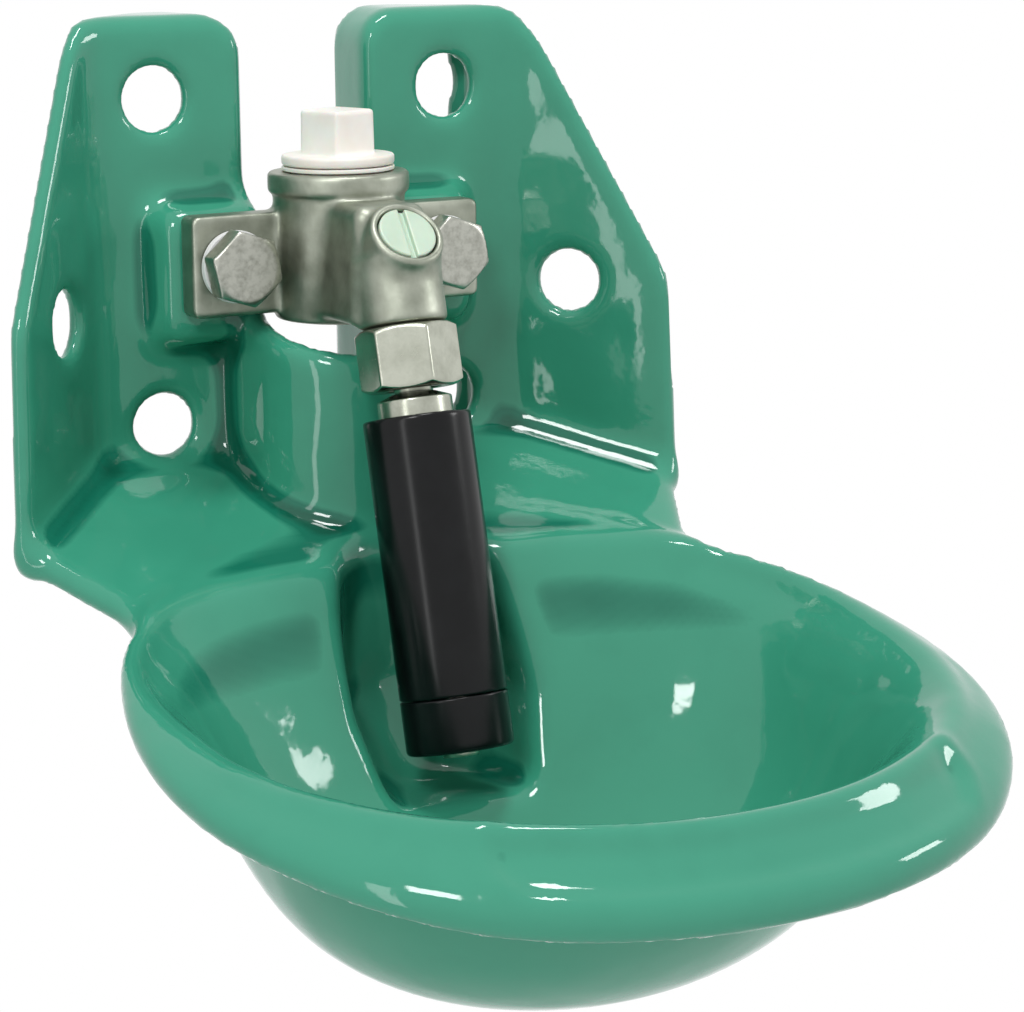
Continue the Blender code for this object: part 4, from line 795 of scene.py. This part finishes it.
def makeFlowScrew():
    s = screw

    def shape(x, y, z):
        radial = np.hypot(x, y)
        land = -s["head"] - s["groove"]
        tip = land - s["land"]
        body = rod(radial, z, s["radius"], -s["head"], 0, 0.35)
        body = np.minimum(body, rod(radial, z, s["grooveRadius"], land - 0.4, -0.6))
        body = np.minimum(body, rod(radial, z, s["radius"], tip, land, 0.2))
        body = np.minimum(body, rod(radial, z, s["tipRadius"], tip - s["tip"], land - 0.4, 0.3))
        return cut(body, np.maximum(np.abs(x) - s["slot"] / 2, -s["slotDeep"] - z), 0.15)

    place = leaningPlace(s, s["angle"]) @ Matrix.Rotation(math.radians(s["slotTurn"]), 4, "Z")
    piece = localPiece("slotted_flow_screw", shape, (-8, -8, -8.2), (8, 8, 0.8), 0.25, place,
                       finishes["mint"])
    settle(piece, "screw", "mint_plastic", "flow_screw")


plug = {
    "thread": 11.9, "threadDeep": 0.5, "pitch": 1.8, "low": 52.7, "under": 65.3, "flange": 14.1,
    "flangeHigh": 2.6, "square": 13.6, "squareHigh": 11, "draft": 0.012, "turn": 18,
}


def makePlug():
    p = plug

    def shape(x, y, z):
        radial = np.hypot(x, y)
        thread = ridged(p["pitch"], p["threadDeep"], z, x, y)
        body = rod(radial + thread, z, p["thread"], p["low"], p["under"] + 1, 0.4)
        body = np.minimum(body, rod(radial, z, p["flange"], p["under"], p["under"] + p["flangeHigh"], 0.7))
        taper = (z - p["under"]) * p["draft"]
        square = meet(np.abs(x) - p["square"] / 2 + taper, np.abs(y) - p["square"] / 2 + taper, 1.0)
        square = meet(square, z - p["under"] - p["flangeHigh"] - p["squareHigh"], 0.9)
        return join(body, np.maximum(square, p["under"] - z), 0.6)

    place = Matrix.Translation((0, -valve["out"] * mm, 0)) @ Matrix.Rotation(math.radians(p["turn"]), 4, "Z")
    low, high = (-14.8, -14.8, 52), (14.8, 14.8, 79.6)
    piece = localPiece("square_head_plug", shape, low, high, 0.45, place, finishes["cream"])
    settle(piece, "casting", "white_plastic", "top_plug")


bolt = {
    "x": 29.2, "y": -42.8, "z": 41.7, "flats": 17, "head": 6.4, "under": 2.6, "shank": 4.9, "end": -37.4,
    "pitch": 1.5, "threadDeep": 0.4, "threadTop": -10, "headTurn": 12, "nutHigh": 8.4, "clearance": 0.3,
    "washer": 2, "washerBore": 5.2, "washerRadius": 9, "padBack": -20.4,
}


def makeBolts():
    b = bolt

    def boltShape(x, y, z):
        turn = math.radians(b["headTurn"])
        u, v = x * math.cos(turn) + y * math.sin(turn), y * math.cos(turn) - x * math.sin(turn)
        head = hexField(u, v, z, b["flats"], b["under"], b["under"] + b["head"], False)
        thread = ridged(b["pitch"], b["threadDeep"], z, x, y) * (z < b["threadTop"])
        return np.minimum(head, rod(np.hypot(x, y) + thread, z, b["shank"], b["end"], b["under"] + 1, 0.5))

    def nutShape(x, y, z):
        body = hexField(x, y, z, b["flats"], 0, b["nutHigh"], True)
        return cut(body, np.hypot(x, y) - b["shank"] - b["clearance"], 0.4)

    nutFace = b["padBack"] + b["clearance"] + b["washer"] + b["clearance"]
    for name, shape, low, high, turn, y, nodes in (
            ("lug_screws", boltShape, -38.2, 10, 90, b["y"], "lug_bolt"),
            ("lug_nuts", nutShape, -0.9, 9.3, -90, nutFace, "lug_nut")):
        facing = Matrix.Rotation(math.radians(turn), 4, "X")
        low, high = (-10.8, -10.8, low), (10.8, 10.8, high)
        template = localPiece(name, shape, low, high, 0.45, facing, finishes["zinc"])
        piece = repeatAcross(template, (y, b["z"]), b["x"])
        settle(piece, "casting", "steel", nodes + "_left", nodes + "_right")


# Node trees: turned pieces, pairs across the middle, and the spring.

def newTree(name, **sockets):
    # a tree with named inputs besides its geometry
    tree = bpy.data.node_groups.new(name, "GeometryNodeTree")
    tree.interface.new_socket("Geometry", in_out="INPUT", socket_type="NodeSocketGeometry")
    for label, kind in sockets.items():
        tree.interface.new_socket(label.replace("_", " "), in_out="INPUT", socket_type="NodeSocket" + kind)
    tree.interface.new_socket("Geometry", in_out="OUTPUT", socket_type="NodeSocketGeometry")
    return tree, tree.nodes.new("NodeGroupInput").outputs, tree.nodes.new("NodeGroupOutput")


def latheTree():
    # turns the profile, given as points in X and Z, about the Z axis
    tree, given, result = newTree("Lathe", Steps="Int", Material="Material")
    count = addNode(tree, "GeometryNodeAttributeDomainSize",
                    Geometry=given["Geometry"]).outputs["Point Count"]
    columns = addNode(tree, "ShaderNodeMath", {"operation": "ADD"}, n0=given["Steps"], n1=1.0)
    grid = addNode(tree, "GeometryNodeMeshGrid", Size_X=1.0, Size_Y=1.0, Vertices_X=columns, Vertices_Y=count)
    place = addNode(tree, "ShaderNodeSeparateXYZ", Vector=addNode(tree, "GeometryNodeInputPosition")).outputs
    turn = addNode(tree, "ShaderNodeMath", {"operation": "MULTIPLY_ADD"}, n0=place["X"], n1=2 * math.pi,
                   n2=math.pi)
    last = addNode(tree, "ShaderNodeMath", {"operation": "SUBTRACT"}, n0=count, n1=1.0)
    row = addNode(tree, "ShaderNodeMath", {"operation": "ADD"}, n0=place["Y"], n1=0.5)
    row = addNode(tree, "ShaderNodeMath", {"operation": "MULTIPLY"}, n0=row, n1=last)
    row = addNode(tree, "ShaderNodeMath", {"operation": "ROUND"}, n0=row)
    point = addNode(tree, "GeometryNodeSampleIndex", {"data_type": "FLOAT_VECTOR"}, Index=row,
                    Geometry=given["Geometry"], Value=addNode(tree, "GeometryNodeInputPosition"))
    point = addNode(tree, "ShaderNodeVectorRotate", {"rotation_type": "Z_AXIS"}, Vector=point, Angle=turn)
    placed = addNode(tree, "GeometryNodeSetPosition", Geometry=grid.outputs["Mesh"], Position=point)
    closed = addNode(tree, "GeometryNodeMergeByDistance", Geometry=placed, Distance=0.002 * mm)
    real = addNode(tree, "GeometryNodeRealizeInstances", Geometry=closed)
    painted = addNode(tree, "GeometryNodeSetMaterial", Geometry=real, Material=given["Material"])
    feed(tree, result, n0=painted)
    return tree


def pairTree():
    # sets a copy of the piece at each of a row of points along X
    tree, given, result = newTree("Pair", Count="Int", First_X="Float", Spacing="Float", Y="Float", Z="Float",
                                  Material="Material")
    start = addNode(tree, "ShaderNodeCombineXYZ", X=given["First X"], Y=given["Y"], Z=given["Z"])
    offset = addNode(tree, "ShaderNodeCombineXYZ", X=given["Spacing"])
    row = addNode(tree, "GeometryNodeMeshLine", Count=given["Count"], Start_Location=start, Offset=offset)
    copies = addNode(tree, "GeometryNodeInstanceOnPoints", Points=row, Instance=given["Geometry"])
    real = addNode(tree, "GeometryNodeRealizeInstances", Geometry=copies)
    painted = addNode(tree, "GeometryNodeSetMaterial", Geometry=real, Material=given["Material"])
    feed(tree, result, n0=painted)
    return tree


def springTree():
    # a coil as one tube with closed ends
    tree, given, result = newTree("Spring", Radius="Float", Wire="Float", Turns="Float", Height="Float",
                                  Material="Material")
    coil = addNode(tree, "GeometryNodeCurveSpiral", Resolution=32, Rotations=given["Turns"],
                   Start_Radius=given["Radius"], End_Radius=given["Radius"], Height=given["Height"])
    section = addNode(tree, "GeometryNodeCurvePrimitiveCircle", Resolution=12, Radius=given["Wire"])
    tube = addNode(tree, "GeometryNodeCurveToMesh", Curve=coil, Profile_Curve=section, Fill_Caps=True)
    real = addNode(tree, "GeometryNodeRealizeInstances", Geometry=tube)
    painted = addNode(tree, "GeometryNodeSetMaterial", Geometry=real, Material=given["Material"])
    feed(tree, result, n0=painted)
    return tree


trees = {"lathe": latheTree(), "pair": pairTree(), "spring": springTree()}


def grown(name, start, tree, **settings):
    # runs a tree on a start mesh and keeps the result as a plain mesh
    maker = bpy.data.objects.new(name + "_maker", start)
    bpy.context.scene.collection.objects.link(maker)
    modifier = maker.modifiers.new("grow", "NODES")
    modifier.node_group = tree
    sockets = {item.name: item.identifier for item in tree.interface.items_tree if item.in_out == "INPUT"}
    for label, value in settings.items():
        modifier[sockets[label.replace("_", " ")]] = value
    depsgraph = bpy.context.evaluated_depsgraph_get()
    mesh = bpy.data.meshes.new_from_object(maker.evaluated_get(depsgraph))
    maker.modifiers.clear()
    bpy.data.objects.remove(maker, do_unlink=True)
    mesh.name = name
    piece = bpy.data.objects.new(name, mesh)
    bpy.context.scene.collection.objects.link(piece)
    print(name, len(mesh.vertices), "points")
    return piece


def repeatAcross(template, place, halfSpacing):
    # the template at each side of the middle, as one mesh
    name, start = template.name, template.data
    bpy.data.objects.remove(template, do_unlink=True)
    return grown(name, start, trees["pair"], Count=2, First_X=-halfSpacing * mm, Spacing=2 * halfSpacing * mm,
                 Y=place[0] * mm, Z=place[1] * mm, Material=start.materials[0])


def rounded(profile, radii, steps=5):
    # a closed profile of (radius, height) corners, each with its own small rounding
    points = []
    for index, (corner, radius) in enumerate(zip(profile, radii)):
        here = Vector(corner)
        before = Vector(profile[index - 1]) - here
        after = Vector(profile[(index + 1) % len(profile)]) - here
        if radius == 0:
            points.append(here)
            continue
        reach = min(1.8 * radius, 0.45 * before.length, 0.45 * after.length)
        a = here + before.normalized() * radius
        b = here + after.normalized() * radius
        arc = [a * (1 - t) ** 2 + here * 2 * t * (1 - t) + b * t ** 2 for t in np.linspace(0, 1, steps + 1)]
        # a point just outside each end of the arc keeps the flats flat
        points += [here + before.normalized() * reach, *arc, here + after.normalized() * reach]
    return points


def lathe(name, profile, radii, place, material, steps=96):
    # a turned piece: each corner of its closed profile has its own rounding
    points = rounded(profile, radii)
    points.append(points[0])
    start = bpy.data.meshes.new(name + "_profile")
    start.from_pydata([(u * mm, 0, v * mm) for u, v in points], [], [])
    piece = grown(name, start, trees["lathe"], Steps=steps, Material=material)
    body = bmesh.new()
    body.from_mesh(piece.data)
    bmesh.ops.recalc_face_normals(body, faces=body.faces)
    body.to_mesh(piece.data)
    body.free()
    piece.data.shade_smooth()
    piece.data.set_sharp_from_angle(angle=math.radians(50))
    piece.data.transform(place)
    return piece


tube = {  # distances along the leaning axis from the ball's centre, and radii
    "bore": 4.8, "neck": 9.2, "neckLow": -21.5, "neckHigh": -9.8, "neckTop": -8.3, "neckTopRadius": 5.2,
    "sleeve": 13.2, "sleeveLow": -82.1, "sleeveHigh": -14, "socket": 9.5, "socketLow": -21.8,
    "capHigh": -82.4, "capLow": -95.6, "recess": 7.3, "recessHigh": -93.6, "ball": 5.6, "ballTop": 3.2,
    "outer": 4.5, "inner": 3.2, "end": -97.1,
}


def makeTube():
    t, place, black = tube, outletPlace(), finishes["black"]
    neck = [(t["bore"], t["neckLow"]), (t["neck"], t["neckLow"]), (t["neck"], t["neckHigh"]),
            (t["neckTopRadius"], t["neckTop"]), (t["bore"], t["neckTop"])]
    piece = lathe("neck_collar", neck, [0, 0.3, 0.5, 0.2, 0], place, finishes["nut"])
    settle(piece, "tube", "steel", "tube_neck")
    sleeve = [(t["bore"], t["sleeveLow"]), (t["sleeve"], t["sleeveLow"]), (t["sleeve"], t["sleeveHigh"]),
              (t["socket"], t["sleeveHigh"]), (t["socket"], t["socketLow"]), (t["bore"], t["socketLow"])]
    piece = lathe("black_sleeve", sleeve, [0, 0.45, 1.0, 0.3, 0.2, 0], place, black)
    settle(piece, "tube", "black_plastic", "tube_sleeve")
    cap = [(t["bore"], t["capHigh"]), (t["bore"], t["recessHigh"]), (t["recess"], t["recessHigh"]),
           (t["recess"], t["capLow"]), (t["sleeve"], t["capLow"]), (t["sleeve"], t["capHigh"])]
    piece = lathe("sleeve_end_cap", cap, [0.3, 0, 0, 0.3, 1.3, 0.45], place, black)
    settle(piece, "tube", "black_plastic", "sleeve_cap")
    low, high = -math.acos(t["outer"] / t["ball"]), math.asin(t["ballTop"] / t["ball"])
    ball = [(t["ball"] * math.cos(a), t["ball"] * math.sin(a)) for a in np.linspace(low, high, 14)]
    steel = [(t["inner"], t["end"]), (t["outer"], t["end"]), *ball, (t["inner"], t["ballTop"])]
    piece = lathe("steel_tube", steel, [0.3, 0.5] + [0] * len(ball) + [0.3], place, finishes["tube"], 64)
    settle(piece, "tube", "steel", "tilt_tube")


def makeWashers():
    b = bolt
    facing = Matrix.Rotation(math.radians(90), 4, "X")
    inner, outer, thick = b["washerBore"], b["washerRadius"], b["washer"]
    profile = [(inner, 0), (outer, 0), (outer, thick), (inner, thick)]
    front, back = b["y"] - b["clearance"], b["padBack"] + b["clearance"] + thick
    for name, y, nodes in (("lug_washers", front, "lug_washer"), ("back_washers", back, "back_washer")):
        template = lathe(name, profile, [0.2, 0.35, 0.35, 0.2], facing, finishes["washer"], 64)
        piece = repeatAcross(template, (y, b["z"]), b["x"])
        settle(piece, "casting", "steel", nodes + "_left", nodes + "_right")


gasket = {"inner": 12.2, "low": 64, "high": 65}


def makeGasket():
    g, outer = gasket, plug["flange"]
    profile = [(g["inner"], g["low"]), (outer, g["low"]), (outer, g["high"]), (g["inner"], g["high"])]
    place = Matrix.Translation((0, -valve["out"] * mm, 0))
    piece = lathe("plug_seal", profile, [0, 0.3, 0.3, 0], place, finishes["cream"])
    settle(piece, "casting", "white_plastic", "plug_gasket")


spring = {
    "radius": 3.3, "wire": 0.45, "turns": 4.0, "height": 5.7, "seat": 14.1, "clearance": 0.3, "top": 21.0,
    "keep": 0.91,
}


def makeSpring():
    s = spring
    start = bpy.data.meshes.new("spring_start")
    piece = grown("valve_coil", start, trees["spring"], Radius=s["radius"] * mm, Wire=s["wire"] * mm,
                  Turns=s["turns"], Height=s["height"] * mm, Material=finishes["zinc"])
    piece.data.shade_smooth()
    piece.data.transform(outletPlace(s["seat"] + s["clearance"] + s["wire"]))
    settle(piece, "casting", "steel", "valve_spring")
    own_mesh(piece)


# CAD nodes that keep their own shape.

carried = {
    "strainer": "zinc", "tube_circlip": "zinc", "valve_seat": "brass", "valve_stem": "brass",
    "stem_foot": "brass", "screw_o_ring": "rubber", "valve_disc": "rubber", "nut_seal": "rubber",
    "ball_seat": "cream", "swivel_ring": "cream",
}


def dressCarried():
    for node, finish in carried.items():
        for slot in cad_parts[node].material_slots:
            slot.material = finishes[finish]
    print("carried nodes", len(carried))


# Studio: the camera's place is mm, and its axes are unit vectors.

studio = {
    "camera": (-332.19, -703.60, 135.77), "right": (0.86507781, -0.50156513, -0.00853266),
    "up": (0.11236269, 0.17716482, 0.97774601), "back": (-0.48889162, -0.84678512, 0.20961856),
    "lens": 103.7, "sensor": 36, "nearest": 0.01, "floorZ": -430, "floorHalf": 4000, "floorNear": 340,
    "floorFar": 640, "paper": "#F2F2F0", "ambient": 0.37,
}
lamps = {  # place and aim in mm, size in mm, power in watts
    "key": {"place": (-760, -900, 900), "aim": (0, -120, -20), "size": (300, 300), "power": 6.5},
    "fill": {"place": (1150, -700, 420), "aim": (0, -120, 0), "size": (300, 260), "power": 3},
    "strip": {"place": (-1229, -790, 100), "aim": (0, -120, 0), "size": (150, 1500), "power": 3},
    "top": {"place": (60, -260, 1250), "aim": (0, -120, 0), "size": (380, 220), "power": 6.5},
}


def seenWhite(tree):
    # 1 for rays that see the background: straight, in a reflection, or through glass
    ray = addNode(tree, "ShaderNodeLightPath").outputs
    larger = {"operation": "MAXIMUM"}
    seen = addNode(tree, "ShaderNodeMath", larger, n0=ray["Is Camera Ray"], n1=ray["Is Glossy Ray"])
    return addNode(tree, "ShaderNodeMath", larger, n0=seen, n1=ray["Is Transmission Ray"])


def makeWorld():
    world = bpy.data.worlds.new("white_studio")
    bpy.context.scene.world = world
    world.use_nodes = True
    tree = world.node_tree
    tree.nodes.clear()
    level = addNode(tree, "ShaderNodeMapRange", n0=seenWhite(tree), n3=studio["ambient"], n4=1.0)
    light = addNode(tree, "ShaderNodeBackground", Color=(1, 1, 1, 1), Strength=level)
    addNode(tree, "ShaderNodeOutputWorld", Surface=light)


def makeFloor():
    s = studio
    half, z = s["floorHalf"] * mm, s["floorZ"] * mm
    mesh = bpy.data.meshes.new("pale_floor")
    corners = [(-half, -half, z), (half, -half, z), (half, half, z), (-half, half, z)]
    mesh.from_pydata(corners, [], [(0, 1, 2, 3)])
    floor = bpy.data.objects.new("pale_floor", mesh)
    bpy.context.scene.collection.objects.link(floor)
    # matt paper that keeps the shadow near the bowl and runs out into plain white
    material, tree, shader, where = newMaterial("pale_matt_paper")
    feed(tree, shader, Base_Color=colour(s["paper"]), Roughness=0.9)
    away = addNode(tree, "ShaderNodeVectorMath", {"operation": "LENGTH"}, n0=where).outputs["Value"]
    away = addNode(tree, "ShaderNodeMapRange", {"interpolation_type": "SMOOTHSTEP"}, n0=away,
                   n1=s["floorNear"] * mm, n2=s["floorFar"] * mm)
    share = addNode(tree, "ShaderNodeMath", {"operation": "MULTIPLY"}, n0=away, n1=seenWhite(tree))
    glow = addNode(tree, "ShaderNodeEmission", Color=(1, 1, 1, 1), Strength=1.0)
    mixed = addNode(tree, "ShaderNodeMixShader", n0=share, n1=shader, n2=glow)
    feed(tree, tree.nodes["Material Output"], Surface=mixed)
    mesh.materials.append(material)


def makeLamps():
    for name, lamp in lamps.items():
        light = bpy.data.lights.new(name, "AREA")
        light.shape = "RECTANGLE"
        light.size, light.size_y = (side * mm for side in lamp["size"])
        light.energy = lamp["power"]
        shown = bpy.data.objects.new(name, light)
        bpy.context.scene.collection.objects.link(shown)
        place, aim = Vector(lamp["place"]) * mm, Vector(lamp["aim"]) * mm
        facing = (place - aim).to_track_quat("Z", "Y").to_matrix().to_4x4()
        shown.matrix_world = Matrix.Translation(place) @ facing


def makeCamera():
    s = studio
    camera = bpy.data.objects.new("camera", bpy.data.cameras.new("camera"))
    bpy.context.scene.collection.objects.link(camera)
    turn = Matrix((s["right"], s["up"], s["back"])).transposed().to_4x4()
    camera.matrix_world = Matrix.Translation(Vector(s["camera"]) * mm) @ turn
    camera.data.lens = s["lens"]
    camera.data.sensor_width = s["sensor"]
    camera.data.clip_start = s["nearest"]
    bpy.context.scene.camera = camera


def makeStudio():
    bpy.context.scene.view_settings.view_transform = "Standard"
    makeWorld()
    makeFloor()
    makeLamps()
    makeCamera()
    print("studio", len(lamps), "lamps")


makeCasting()
makeValveBody()
makeUnionNut()
makeFlowScrew()
makePlug()
makeBolts()
makeWashers()
makeGasket()
makeTube()
makeSpring()
dressCarried()
makeStudio()
